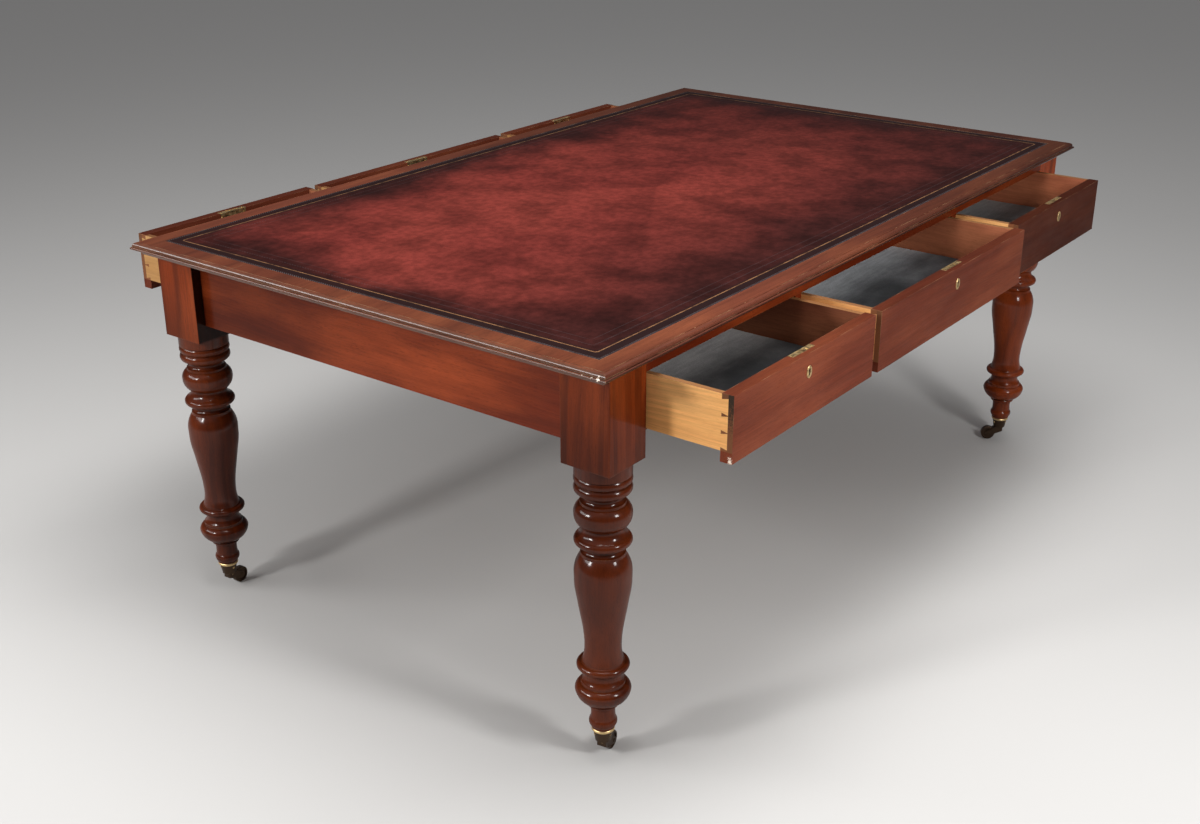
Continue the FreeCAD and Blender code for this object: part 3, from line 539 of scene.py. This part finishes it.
def polished_wood(
    name,
    turn,
    tones,
    seed,
    rings=0.4,
    clouds=0.6,
    hollows=0.5,
    wear=0.0,
    coat=0.22,
    sheen=0.17,
    gain=1.0,
    inward=0,
    shade_along_y=(),
    lip=(),
    dirt=1.0,
    chips=(),
):
    """Mahogany under old French polish.

    Sheen is how rough the polish is, and gain lightens or darkens the wood. A leg gives inward, the way along
    Y to the rail that its faces with painted shade look, and an end rail gives the span along Y where its
    painted shade starts and ends to grow darker. A drawer front gives lip, which is where its face stands and
    how high its lip reaches, the amount of dirt in its ends, and the places and radii of its chips.
    """
    material, tree, shader, spot, normal = new_material(name, 0.03, coat, sheen)
    grain = turned(tree, spot, turn)
    figure = wood_figure(tree, grain, tones, seed, rings, clouds, gain)
    color = figure["Color"]
    if inward:
        color = shade_leg(tree, shader, spot, normal, color, inward, coat)
    # Painted shade: an end rail darkens to 0.55 of its tone towards its back end along Y
    if shade_along_y:
        color = scaled(tree, color, fade(tree, axis(tree, spot, "Y"), *shade_along_y, 1.0, 0.55))
    color = settle_and_shade(tree, color, 0.012, hollows)
    if lip:
        color = shade_front(tree, spot, normal, color, *lip, dirt)
    if wear:
        color = rub_edges(tree, spot, color, bpy.context.scene.desk_wood.worn, 0.0015, wear)
    color = chip(tree, spot, color, chips)
    gloss = handled_gloss(tree, grain, 0.36, 0.52)
    surface(tree, shader, color, gloss, figure["Grain"], 0.12, 0.0004)
    return material


def top_wood():
    """The top's boards: a figure for each, browner where the ends are cut across, painted shade to the right.
    """
    material, tree, shader, spot, normal = new_material("top_boards_polish", 0.04, coat=0.25, sheen=0.19)
    wood = bpy.context.scene.desk_wood
    low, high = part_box("top_boards")
    share = calc(tree, "SUBTRACT", axis(tree, spot, "Y"), low.y)
    share = calc(tree, "DIVIDE", share, (high.y - low.y) / TOP_BOARDS)
    figure = wood_figure(tree, spot, "top", calc(tree, "FLOOR", share), 0.5, 0.55)
    along = axis(tree, spot, "X")
    # Painted shade: the boards darken near both ends and more so to the right
    shade = fade(tree, calc(tree, "ABSOLUTE", along), high.x - 0.45, high.x - 0.04, 1.0, 0.66)
    shade = product(tree, shade, fade(tree, along, low.x + 0.15, 0.35, 1.0, 0.46))
    cut = fade(tree, calc(tree, "ABSOLUTE", axis(tree, normal, "X")), 0.25, 0.75)
    brown = mix(tree, 0.55, scaled(tree, figure["Color"], 0.62), wood.cut_end)
    color = mix(tree, cut, scaled(tree, figure["Color"], shade), brown)
    joint = calc(tree, "SUBTRACT", calc(tree, "FRACT", calc(tree, "ADD", share, 0.5)), 0.5)
    joint = fade(tree, calc(tree, "ABSOLUTE", joint), 0.0015, 0.0035, 1.0, 0.0)
    color = mix(tree, product(tree, joint, 0.6), color, wood.joint)
    color = settle_and_shade(tree, color, 0.006, 0.75)
    color = rub_edges(tree, spot, color, wood.worn, 0.0018, 0.55)
    color = chip(tree, spot, color, TOP_CHIPS)
    gloss = handled_gloss(tree, spot, 0.30, 0.48)
    coat = fade(tree, axis(tree, normal, "Z"), 0.80, 0.97, 0.9, 0.25)
    height = calc(tree, "SUBTRACT", figure["Grain"], product(tree, joint, 2.0))
    feed(tree, shader, Coat_Weight=coat)
    surface(tree, shader, color, gloss, height, 0.12, 0.0004)
    return material


def drawer_wood(name, turn, seed, middle_x, gains):
    """A drawer's sides or back: golden outside, redder inside, with darker upper faces and edges rubbed pale.
    """
    material, tree, shader, spot, normal = new_material(name, 0.1, coat=0.05, sheen=0.3)
    wood = bpy.context.scene.desk_wood
    grain = turned(tree, spot, turn)
    outside = wood_figure(tree, grain, "side", seed, 0.28, 0.8, gains[0])
    inside = wood_figure(tree, grain, "inside", seed, 0.28, 0.8, gains[1])
    outward = calc(tree, "SUBTRACT", axis(tree, spot, "X"), middle_x)
    outward = product(tree, axis(tree, normal, "X"), outward)
    color = mix(tree, calc(tree, "GREATER_THAN", 0.0, outward), outside["Color"], inside["Color"])
    upper = fade(tree, axis(tree, normal, "Z"), 0.6, 0.9)
    color = mix(tree, product(tree, upper, 0.85), color, wood.side_edge)
    color = settle_and_shade(tree, color, 0.02, 0.5)
    color = rub_edges(tree, spot, color, wood.worn, 0.0012, 0.6)
    gloss = handled_gloss(tree, grain, 0.45, 0.65)
    surface(tree, shader, color, gloss, outside["Grain"], 0.25, 0.0005)
    return material


def plain_wood(name, turn, seed):
    """Unpolished carcase wood, darker in its corners with dust and painted shade."""
    material, tree, shader, spot, _ = new_material(name, 0.25)
    grain = turned(tree, spot, turn)
    figure = wood_figure(tree, grain, "plain", seed, 0.6, 0.5)
    color = settle_and_shade(tree, figure["Color"], 0.03, 0.6)
    gloss = handled_gloss(tree, grain, 0.62, 0.8)
    surface(tree, shader, color, gloss, figure["Grain"], 0.35, 0.0006)
    return material


def stained_leather(tree, spot, edge, clouds, blotches, sponge):
    """Red leather stained in from its edges, with painted shade along the near side and to the right."""
    look = bpy.context.scene.desk_leather
    drift = jitter(tree, jitter(tree, 0.0, clouds, 0.30), blotches, 0.14)
    clean = fade(tree, calc(tree, "ADD", edge, drift), 0.0, 0.21)
    # Painted shade: the leather darkens towards the near side and to the right; the stain from the edges is
    # its own
    near = fade(tree, calc(tree, "ADD", axis(tree, spot, "Y"), drift), -0.54, 0.02, 0.12, 1.0)
    right = fade(tree, calc(tree, "SUBTRACT", axis(tree, spot, "X"), drift), -0.10, 0.80, 1.0, 0.42)
    stain_and_shade = calc(tree, "SUBTRACT", 1.0, product(tree, clean, near, right))
    color = mix(tree, fade(tree, clouds, 0.38, 0.62), look.red, look.bright)
    color = mix(tree, product(tree, fade(tree, blotches, 0.45, 0.72), 0.35), color, look.red)
    color = mix(tree, product(tree, stain_and_shade, 0.95), color, look.shade)
    color = scaled(tree, color, fade(tree, sponge, 0.3, 0.7, 0.80, 1.18))
    color = scaled(tree, color, fade(tree, blotches, 0.34, 0.62, 0.74, 1.22))
    inset = look.gilt_inset
    return mix(tree, fade(tree, edge, inset - 0.002, inset + 0.012, 0.85, 0.0), color, look.rim)


def tooling(tree, quarter):
    """How strongly each tooled line is pressed: the rope roll, the gilt line, the beads and the fine line."""
    look = bpy.context.scene.desk_leather
    masks = {}
    for line in ("rope", "gilt", "bead", "fine"):
        inset, width = getattr(look, line + "_inset"), getattr(look, line + "_width")
        inputs = {"Quarter": quarter, "Inset": inset, "Radius": look.corner_radius, "Width": width}
        masks[line] = use(tree, "Tooled Line", inputs)["Mask"]
    along = calc_vector(tree, "DOT_PRODUCT", quarter, (1.0, 1.0, 0.0))
    strokes = (("rope", look.rope_pitch, -0.3, 0.3), ("bead", look.bead_pitch, -0.5, 0.2))
    for line, pitch, start, end in strokes:
        wave = calc(tree, "SINE", product(tree, along, 2 * math.pi / pitch))
        masks[line] = product(tree, masks[line], fade(tree, wave, start, end))
    return masks["rope"], masks["gilt"], masks["bead"], masks["fine"]


def writing_leather():
    """Hand-stained leather, nearly black at its rim, with a rope roll, a gilt line and two blind lines."""
    material, tree, shader, spot, _ = new_material("oxblood_leather", 0.04, coat=0.06, sheen=0.22)
    look = bpy.context.scene.desk_leather
    low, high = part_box("top_leather")
    middle, half = (low + high) / 2, (high - low) / 2
    spot = calc_vector(tree, "SUBTRACT", spot, tuple(middle))
    quarter = calc_vector(tree, "ABSOLUTE", spot)
    room = calc_vector(tree, "SUBTRACT", (half.x, half.y, 1.0), quarter)
    edge = calc(tree, "MINIMUM", axis(tree, room, "X"), axis(tree, room, "Y"))
    clouds = speckle(tree, spot, scale=3.1, detail=3.0)
    blotches = speckle(tree, spot, scale=9.0, detail=4.0, roughness=0.55)
    sponge = speckle(tree, spot, scale=60.0, detail=3.0, roughness=0.6)
    worn = speckle(tree, spot, scale=26.0, detail=4.0, roughness=0.7)
    color = stained_leather(tree, spot, edge, clouds, blotches, sponge)
    rope, gilt, bead, fine = tooling(tree, quarter)
    pressed = calc(tree, "ADD", calc(tree, "MAXIMUM", gilt, fine), calc(tree, "ADD", rope, bead))
    # Painted sheen with bloom: the tooled lines are greyed, the rope roll most
    bloom_and_sheen = calc(tree, "MAXIMUM", product(tree, bead, 0.17), product(tree, fine, 0.12))
    bloom_and_sheen = calc(tree, "MAXIMUM", bloom_and_sheen, product(tree, rope, 0.5))
    color = mix(tree, product(tree, bloom_and_sheen, fade(tree, worn, 0.3, 0.6, 0.4, 1.0)), color, look.bloom_and_sheen)
    gold = product(tree, gilt, fade(tree, worn, 0.36, 0.62, 0.12, 0.72))
    color = mix(tree, gold, color, look.gilt)
    pebbles = {"Vector": spot, "Scale": 620.0}
    pebbles = add(tree, "ShaderNodeTexVoronoi", pebbles, feature="SMOOTH_F1").outputs[0]
    height = calc(tree, "MULTIPLY_ADD", pebbles, 0.35, product(tree, sponge, 0.8))
    height = calc(tree, "SUBTRACT", height, product(tree, pressed, 1.4))
    gloss = fade(tree, blotches, 0.35, 0.65, 0.40, 0.54)
    feed(tree, shader, Metallic=product(tree, gold, 0.5))
    surface(tree, shader, color, gloss, height, 0.30, 0.0003)
    return material


def lining_paper():
    """Lining paper: painted shadow at the drawer's mouth, painted light further in, faintly fibrous."""
    material, tree, shader, spot, _ = new_material("drawer_lining_paper", 0.3)
    look = bpy.context.scene.desk_lining
    patches = speckle(tree, spot, scale=7.0, detail=5.0, roughness=0.65)
    scuffs = speckle(tree, spot, (18.0, 120.0, 1.0), detail=3.0)
    fibres = speckle(tree, spot, scale=480.0)
    front_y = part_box("drawer_front_centre_lock")[1].y
    back_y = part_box("drawer_back_centre_lock")[0].y
    deep = calc(tree, "SUBTRACT", axis(tree, spot, "Y"), (front_y + back_y) / 2)
    deep = calc(tree, "SUBTRACT", (back_y - front_y) / 2, calc(tree, "ABSOLUTE", deep))
    deep = jitter(tree, deep, patches, 0.10)
    # Painted shadow of the front at the drawer's mouth, painted light further in
    rubbed = fade(tree, deep, look.shadow_reach * 0.40, look.shadow_reach * 1.10)
    rubbed = product(tree, rubbed, fade(tree, scuffs, 0.3, 0.75, 0.75, 1.0))
    wide = calc(tree, "ABSOLUTE", axis(tree, spot, "X"))
    wide = fade(tree, wide, CENTRE_DRAWER_REACH - 0.005, CENTRE_DRAWER_REACH + 0.005, 1.0, 0.0)
    # The wide middle drawers take the paler painted sheen
    color = mix(tree, rubbed, look.paper, mix(tree, wide, look.rubbed, look.painted_sheen))
    color = scaled(tree, color, fade(tree, fibres, 0.3, 0.7, 0.82, 1.15))
    color = settle_and_shade(tree, color, 0.04, 0.4)
    gloss = fade(tree, patches, 0.4, 0.7, 0.62, 0.42)
    surface(tree, shader, color, gloss, fibres, 0.25, 0.0003)
    return material


def brass(name, clean, dull=None, lip=None):
    """Old brass, brown in its hollows; clean is how bright it is kept and lip the foot of a polished rim."""
    material, tree, shader, spot, _ = new_material(name)
    look = bpy.context.scene.desk_brass
    spots = speckle(tree, spot, scale=120.0, detail=4.0, roughness=0.7)
    scratches = speckle(tree, spot, (60.0, 900.0, 400.0), detail=1.0)
    bright = fade(tree, spots, 0.62 - clean * 0.4, 0.82 - clean * 0.3)
    color = mix(tree, bright, dull or look.aged, look.bright)
    brown = fade(tree, openness(tree, 0.004), 0.35, 0.95, 1.0, 0.25 * (1.0 - clean))
    color = mix(tree, brown, color, look.tarnish)
    if lip:
        rim = fade(tree, axis(tree, spot, "Z"), lip - 0.0003, lip + 0.0003, 0.0, 0.9)
        color = mix(tree, rim, color, look.bright)
    color = rub_edges(tree, spot, color, look.bright if clean > 0.5 else look.aged, 0.0008, 0.7)
    gloss = fade(tree, calc(tree, "ADD", spots, product(tree, scratches, 0.4)), 0.4, 1.0, 0.26, 0.5)
    feed(tree, shader, Metallic=fade(tree, brown, 0.0, 1.0, 1.0, 0.55))
    surface(tree, shader, color, gloss, calc(tree, "ADD", scratches, spots), 0.12, 0.0002)
    return material


def dress(material, *names):
    """Gives CAD nodes their finish."""
    for name in names:
        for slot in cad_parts[name].material_slots:
            slot.material = material


# Pieces


def mesh_from(name, build):
    mesh = bpy.data.meshes.new(name)
    build.to_mesh(mesh)
    build.free()
    return mesh


def linked(name, data):
    thing = bpy.data.objects.new(name, data)
    bpy.context.scene.collection.objects.link(thing)
    return thing


def bevel(build, edges, offset, segments):
    bmesh.ops.bevel(
        build, geom=edges, offset=offset, segments=segments, profile=0.5, affect="EDGES", material=-1
    )


def finish_piece(name, build, material, body):
    """An object from a finished bmesh, shaded smooth where it is round, riding on a CAD body."""
    bmesh.ops.recalc_face_normals(build, faces=build.faces)
    mesh = mesh_from(name, build)
    piece = linked(name, mesh)
    mesh.materials.append(material)
    mesh.shade_smooth()
    mesh.set_sharp_from_angle(angle=math.radians(35))
    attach(piece, body)
    return piece


def screw_head(build, radius, height, sides, place):
    """Adds a slotted head, its underside sunk a little below the face that its place stands on."""

    def rise(face):
        return face.calc_center_median().z

    depth = height * 2.2
    head = bmesh.new()
    bmesh.ops.create_cone(head, cap_ends=True, segments=sides, radius1=radius, radius2=radius, depth=depth)
    bmesh.ops.translate(head, verts=head.verts, vec=(0, 0, height - depth / 2))
    face = max(head.faces, key=rise)
    bevel(head, list(face.edges), height * 0.5, 2)
    face = max(head.faces, key=rise)
    bmesh.ops.inset_individual(head, faces=[face], thickness=radius * 0.06)
    for side in (-1, 1):
        cut = {"plane_co": (0, side * radius * 0.14, 0), "plane_no": (0, 1, 0)}
        bmesh.ops.bisect_plane(head, geom=[face, *face.edges, *face.verts], **cut)
        upward = [face for face in head.faces if face.normal.z > 0.9]
        top = max(rise(face) for face in upward)
        upward = [face for face in upward if rise(face) > top - height * 0.01]
        face = min(upward, key=lambda face: sum(abs(part) for part in face.calc_center_median().xy))
    sunk = bmesh.ops.extrude_discrete_faces(head, faces=[face])["faces"][0]
    bmesh.ops.translate(head, verts=sunk.verts, vec=(0, 0, -height * 0.9))
    bmesh.ops.transform(head, matrix=place, verts=head.verts)
    mesh = mesh_from("head", head)
    build.from_mesh(mesh)
    bpy.data.meshes.remove(mesh)


def facing(place, outward, spin):
    """A matrix that stands a piece's Z on a face, turned about it by a spin."""
    turn = Vector(outward).to_track_quat("Z", "Y").to_matrix().to_4x4()
    return Matrix.Translation(place) @ turn @ Matrix.Rotation(spin, 4, "Z")


def lining_sheet(drawer, look, dice):
    """Paper cut to a drawer's floor, cockled, with edges that were trimmed by hand."""
    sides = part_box(drawer + "_sides")
    floor_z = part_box(drawer + "_bottom")[1].z
    ends = sorted(corner.y for part in ("_front", "_back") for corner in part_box(drawer + part))
    wall = DRAWER_WALL + look.gap
    low = Vector((sides[0].x + wall, ends[1] + look.gap))
    high = Vector((sides[1].x - wall, ends[2] - look.gap))
    build = bmesh.new()
    bmesh.ops.create_grid(build, x_segments=30, y_segments=30, size=0.5)
    bmesh.ops.scale(build, vec=(*(high - low), 1.0), verts=build.verts)
    phase = [dice.uniform(0, 6.3) for _ in range(4)]
    for vert in build.verts:
        x, y = vert.co.x, vert.co.y
        wave = math.sin(x * 31 + phase[0] + 2 * math.sin(y * 13 + phase[1]))
        wave *= math.sin(y * 24 + phase[2] + math.sin(x * 17 + phase[3]))
        vert.co.z = look.ripple * max(0.0, wave)
        if vert.is_boundary:
            vert.co.x *= 1.0 - dice.uniform(0.0, 0.004)
            vert.co.y *= 1.0 - dice.uniform(0.0, 0.004)
    middle = (*((low + high) / 2), floor_z + look.thickness + look.ripple * 0.2)
    bmesh.ops.translate(build, vec=middle, verts=build.verts)
    bmesh.ops.solidify(build, geom=list(build.faces), thickness=look.thickness)
    return build


# Operators


class DESK_OT_camera(Operator):
    """Stands the camera where the photographer stood"""

    bl_idname = "desk.camera"
    bl_label = "Place Camera"

    def execute(self, context):
        camera = bpy.data.cameras.new("camera")
        camera.sensor_width = CAMERA_SENSOR
        camera.lens = CAMERA_LENS
        camera.clip_end = 200.0
        turn = Matrix.Rotation(-CAMERA_YAW, 4, "Z") @ Matrix.Rotation(math.pi / 2 - CAMERA_PITCH, 4, "X")
        turn = turn @ Matrix.Rotation(CAMERA_ROLL, 4, "Z")
        stand = linked("camera", camera)
        stand.matrix_world = Matrix.Translation(CAMERA_PLACE) @ turn
        context.scene.camera = stand
        return {"FINISHED"}


class DESK_OT_stage(Operator):
    """Lays a plain pale floor and lights it softly"""

    bl_idname = "desk.stage"
    bl_label = "Set Stage"

    def execute(self, context):
        look = context.scene.desk_stage
        self.lay_floor(look)
        self.light_sky(context.scene, look)
        for name, lamp in LAMPS.items():
            self.stand_lamp(look, name, *lamp)
        context.scene.view_settings.view_transform = "Standard"
        return {"FINISHED"}

    def lay_floor(self, look):
        build = bmesh.new()
        bmesh.ops.create_grid(build, x_segments=1, y_segments=1, size=look.floor_size / 2)
        mesh = mesh_from("floor", build)
        material, _, shader, *_ = new_material("pale_floor", 0.1)
        shader.inputs["Roughness"].default_value = 0.9
        shader.inputs["Base Color"].default_value = rgba(look.floor)
        mesh.materials.append(material)
        linked("floor", mesh)

    def stand_lamp(self, look, name, place, aim, share, width, height):
        lamp = bpy.data.lights.new(name, "AREA")
        lamp.shape = "RECTANGLE"
        lamp.size = look.key_size * width
        lamp.size_y = look.key_size * height
        lamp.energy = look.key_power * share
        stand = linked(name, lamp)
        stand.location = place
        stand.rotation_euler = (Vector(aim) - Vector(place)).to_track_quat("-Z", "Y").to_euler()
        stand.visible_camera = False

    def light_sky(self, scene, look):
        scene.world = bpy.data.worlds.new("studio")
        scene.world.use_nodes = True
        tree = scene.world.node_tree
        rise = axis(tree, add(tree, "ShaderNodeTexCoord").outputs["Generated"], "Z")
        color = mix(tree, fade(tree, rise, 0.35, 0.95), look.sky_low, look.sky_high)
        tree.links.new(color, tree.nodes["Background"].inputs["Color"])


class DESK_OT_effects(Operator):
    """Builds the node groups that the finishes share"""

    bl_idname = "desk.effects"
    bl_label = "Build Effects"

    def execute(self, context):
        make_wood_figure()
        make_settled_polish_and_shade()
        make_rubbed_edge()
        make_handled_gloss()
        make_tooled_line()
        return {"FINISHED"}


class DESK_OT_legs(Operator):
    """Polishes the turned legs"""

    bl_idname = "desk.legs"
    bl_label = "Polish Legs"

    def execute(self, context):
        for seed, leg in enumerate(LEGS):
            given = {"gain": LEG_SHADE_GAINS[leg], "inward": -BANKS[leg.split("_")[0]], **LEG_FINISH}
            dress(polished_wood(f"leg_{leg}_polish", ALONG_Z, "leg", seed, **given), "leg_" + leg)
        return {"FINISHED"}


class DESK_OT_rails(Operator):
    """Polishes the rails and the stiles between the drawers"""

    bl_idname = "desk.rails"
    bl_label = "Polish Rails"

    def execute(self, context):
        for seed, end in enumerate(("left", "right")):
            name = "end_rail_" + end
            dress(polished_wood(name + "_polish", ALONG_Y, "polished", seed + 5, **END_RAIL_FINISH), name)
        rails = polished_wood("rail_polish", ALONG_X, "polished", 9, **RAIL_FINISH)
        dress(rails, "upper_rails", "lower_rails")
        dress(polished_wood("stile_polish", ALONG_Z, "polished", 12), "dividers")
        return {"FINISHED"}


class DESK_OT_top(Operator):
    """Polishes the top's boards"""

    bl_idname = "desk.top"
    bl_label = "Polish Top"

    def execute(self, context):
        dress(top_wood(), "top_boards")
        return {"FINISHED"}


class DESK_OT_leather(Operator):
    """Lays the tooled leather into the top"""

    bl_idname = "desk.leather"
    bl_label = "Lay Leather"

    def execute(self, context):
        look = context.scene.desk_leather
        low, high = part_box("top_leather")
        build = bmesh.new()
        bmesh.ops.create_grid(build, x_segments=12, y_segments=8, size=0.5)
        size = high - low
        bmesh.ops.scale(build, vec=(size.x, size.y, 1.0), verts=build.verts)
        rim = [edge for edge in build.edges if edge.is_boundary]
        skirt = bmesh.ops.extrude_edge_only(build, edges=rim)["geom"]
        lower = [item for item in skirt if isinstance(item, bmesh.types.BMVert)]
        bmesh.ops.translate(build, verts=lower, vec=(0, 0, -size.z))
        bottom = [edge for edge in build.edges if edge.is_boundary]
        bmesh.ops.contextual_create(build, geom=bottom)
        bevel(build, rim, look.skived_edge, 3)
        middle = (low + high) / 2
        bmesh.ops.translate(build, verts=build.verts, vec=(middle.x, middle.y, high.z))
        leather = finish_piece("writing_leather", build, writing_leather(), "desk")
        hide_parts("top_leather")
        return {"FINISHED"}


class DESK_OT_carcase(Operator):
    """Gives the unpolished frame inside the desk its finish"""

    bl_idname = "desk.carcase"
    bl_label = "Finish Carcase"

    def execute(self, context):
        dress(plain_wood("centre_rail_wood", ALONG_X, 21), "centre_rail")
        dress(plain_wood("runner_wood", ALONG_Y, 24), "drawer_runners", "drawer_guides", "kickers")
        return {"FINISHED"}


class DESK_OT_drawers(Operator):
    """Finishes the wood of the six drawers"""

    bl_idname = "desk.drawers"
    bl_label = "Finish Drawers"

    def execute(self, context):
        for seed, drawer in enumerate(DRAWERS):
            low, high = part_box(drawer + "_front")
            middle_x = (low.x + high.x) / 2
            face_y = low.y if low.y < 0 else high.y
            corner = (low.x, face_y - math.copysign(FRONT_CHIP_INSET, face_y), low.z + FRONT_CHIP_INSET)
            front = polished_wood(
                drawer + "_front_polish",
                ALONG_X,
                "front",
                seed + 31,
                lip=(face_y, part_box(drawer + "_sides")[0].z),
                chips=[(corner, FRONT_CHIP_RADIUS)] if drawer == CHIPPED_DRAWER else (),
                **FRONT_FINISH,
                **FRONT_SHADE_AND_WEAR.get(drawer, BACK_FRONT_SHADE_AND_WEAR),
            )
            gains = DRAWER_SHADE_GAINS.get(drawer, BACK_DRAWER_SHADE_GAINS)
            dress(front, drawer + "_front")
            dress(drawer_wood(drawer + "_side_wood", ALONG_Y, seed + 41, middle_x, gains), drawer + "_sides")
            dress(drawer_wood(drawer + "_back_wood", ALONG_X, seed + 51, middle_x, gains), drawer + "_back")
            dress(plain_wood(drawer + "_bottom_wood", ALONG_X, seed + 61), drawer + "_bottom")
        return {"FINISHED"}


class DESK_OT_linings(Operator):
    """Papers the floors of the drawers"""

    bl_idname = "desk.linings"
    bl_label = "Line Drawers"

    def execute(self, context):
        look = context.scene.desk_lining
        material = lining_paper()
        for seed, drawer in enumerate(DRAWERS):
            build = lining_sheet(drawer, look, random.Random(seed + 7))
            finish_piece(drawer + "_lining", build, material, drawer)
        return {"FINISHED"}


class DESK_OT_metal(Operator):
    """Finishes the casters, locks and bolts"""

    bl_idname = "desk.metal"
    bl_label = "Finish Brass"

    def execute(self, context):
        casters = [f"caster_{part}_{leg}" for part in ("fork", "wheel") for leg in LEGS]
        dark = context.scene.desk_brass.caster
        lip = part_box("caster_cups")[1].z - CUP_RIM_DEPTH
        dress(brass("caster_brass_finish", 0.0, dark, lip), "caster_cups", *casters)
        dress(brass("lock_brass_finish", 0.9), *[drawer + "_lock" for drawer in DRAWERS])
        dress(brass("bolt_brass_finish", 0.6), *[drawer + "_bolt" for drawer in DRAWERS])
        return {"FINISHED"}


class DESK_OT_screws(Operator):
    """Drives the screws of the locks, the drawer bottoms and the casters"""

    bl_idname = "desk.screws"
    bl_label = "Drive Screws"

    def execute(self, context):
        look = context.scene.desk_screws
        material = brass("screw_finish", 0.5)
        dice = random.Random(3)
        for drawer in DRAWERS:
            self.drawer_screws(drawer, look, material, dice)
        self.caster_screws(look, material, dice)
        return {"FINISHED"}

    def drawer_screws(self, drawer, look, material, dice):
        low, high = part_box(drawer + "_lock")
        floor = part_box(drawer + "_bottom")
        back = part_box(drawer + "_back")
        inward = 1 if low.y < 0 else -1
        inner_y = high.y if inward > 0 else low.y
        selvedge_y = inner_y - inward * SELVEDGE_SCREW_SETBACK
        build = bmesh.new()
        for side in (-1, 1):
            across = (low.x + high.x) / 2 + side * LOCK_SCREW_REACH
            for drop in LOCK_SCREW_DROPS:
                place = facing((across, inner_y, high.z - drop), (0, inward, 0), dice.uniform(0, 3))
                screw_head(build, look.lock_radius, look.height, look.sides, place)
            place = facing((across, selvedge_y, high.z), (0, 0, 1), dice.uniform(0, 3))
            screw_head(build, look.lock_radius, look.height * 0.5, look.sides, place)
        back_y = (back[0].y + back[1].y) / 2
        for share in BOTTOM_SCREW_SHARES:
            across = floor[0].x + share * (floor[1].x - floor[0].x)
            place = facing((across, back_y, floor[0].z), (0, 0, -1), dice.uniform(0, 3))
            screw_head(build, look.bottom_radius, look.height, look.sides, place)
        finish_piece(drawer + "_screws", build, material, drawer)

    def caster_screws(self, look, material, dice):
        build = bmesh.new()
        radius = CUP_FOOT_RADIUS + (CUP_SCREW_HEIGHT - CUP_FOOT_HEIGHT) * CUP_FLARE
        for leg in LEGS:
            low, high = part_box("leg_" + leg)
            middle = (low + high) / 2
            for third in range(3):
                angle = math.radians(30 + 120 * third)
                outward = Vector((math.cos(angle), math.sin(angle), -CUP_FLARE))
                x, y = middle.x + radius * math.cos(angle), middle.y + radius * math.sin(angle)
                place = facing((x, y, CUP_SCREW_HEIGHT), outward, dice.uniform(0, 3))
                screw_head(build, look.caster_radius, look.height, look.sides, place)
        finish_piece("caster_screws", build, material, "desk")


class DESK_PT_sidebar(Panel):
    """Lists the desk's steps and its sizes and colours"""

    bl_label = "Partners Desk"
    bl_idname = "DESK_PT_sidebar"
    bl_space_type = "VIEW_3D"
    bl_region_type = "UI"
    bl_category = "Desk"

    def draw(self, context):
        for step in STEPS:
            self.layout.operator(step.bl_idname)
        for name in GROUPS:
            box = self.layout.box()
            group = getattr(context.scene, name)
            for prop in group.bl_rna.properties:
                if prop.identifier not in ("rna_type", "name"):
                    box.prop(group, prop.identifier)


GROUPS = {
    "desk_wood": DeskWood,
    "desk_leather": DeskLeather,
    "desk_lining": DeskLining,
    "desk_brass": DeskBrass,
    "desk_screws": DeskScrews,
    "desk_stage": DeskStage,
}
STEPS = (
    DESK_OT_camera,
    DESK_OT_stage,
    DESK_OT_effects,
    DESK_OT_legs,
    DESK_OT_rails,
    DESK_OT_top,
    DESK_OT_leather,
    DESK_OT_carcase,
    DESK_OT_drawers,
    DESK_OT_linings,
    DESK_OT_metal,
    DESK_OT_screws,
)
CLASSES = (*GROUPS.values(), *STEPS, DESK_PT_sidebar)


def register():
    for item in CLASSES:
        bpy.utils.register_class(item)
    for name, group in GROUPS.items():
        setattr(bpy.types.Scene, name, PointerProperty(type=group))


def unregister():
    for name in GROUPS:
        delattr(bpy.types.Scene, name)
    for item in reversed(CLASSES):
        bpy.utils.unregister_class(item)


def main():
    register()
    for step in STEPS:
        area, name = step.bl_idname.split(".")
        getattr(getattr(bpy.ops, area), name)()


if __name__ == "__main__":
    main()
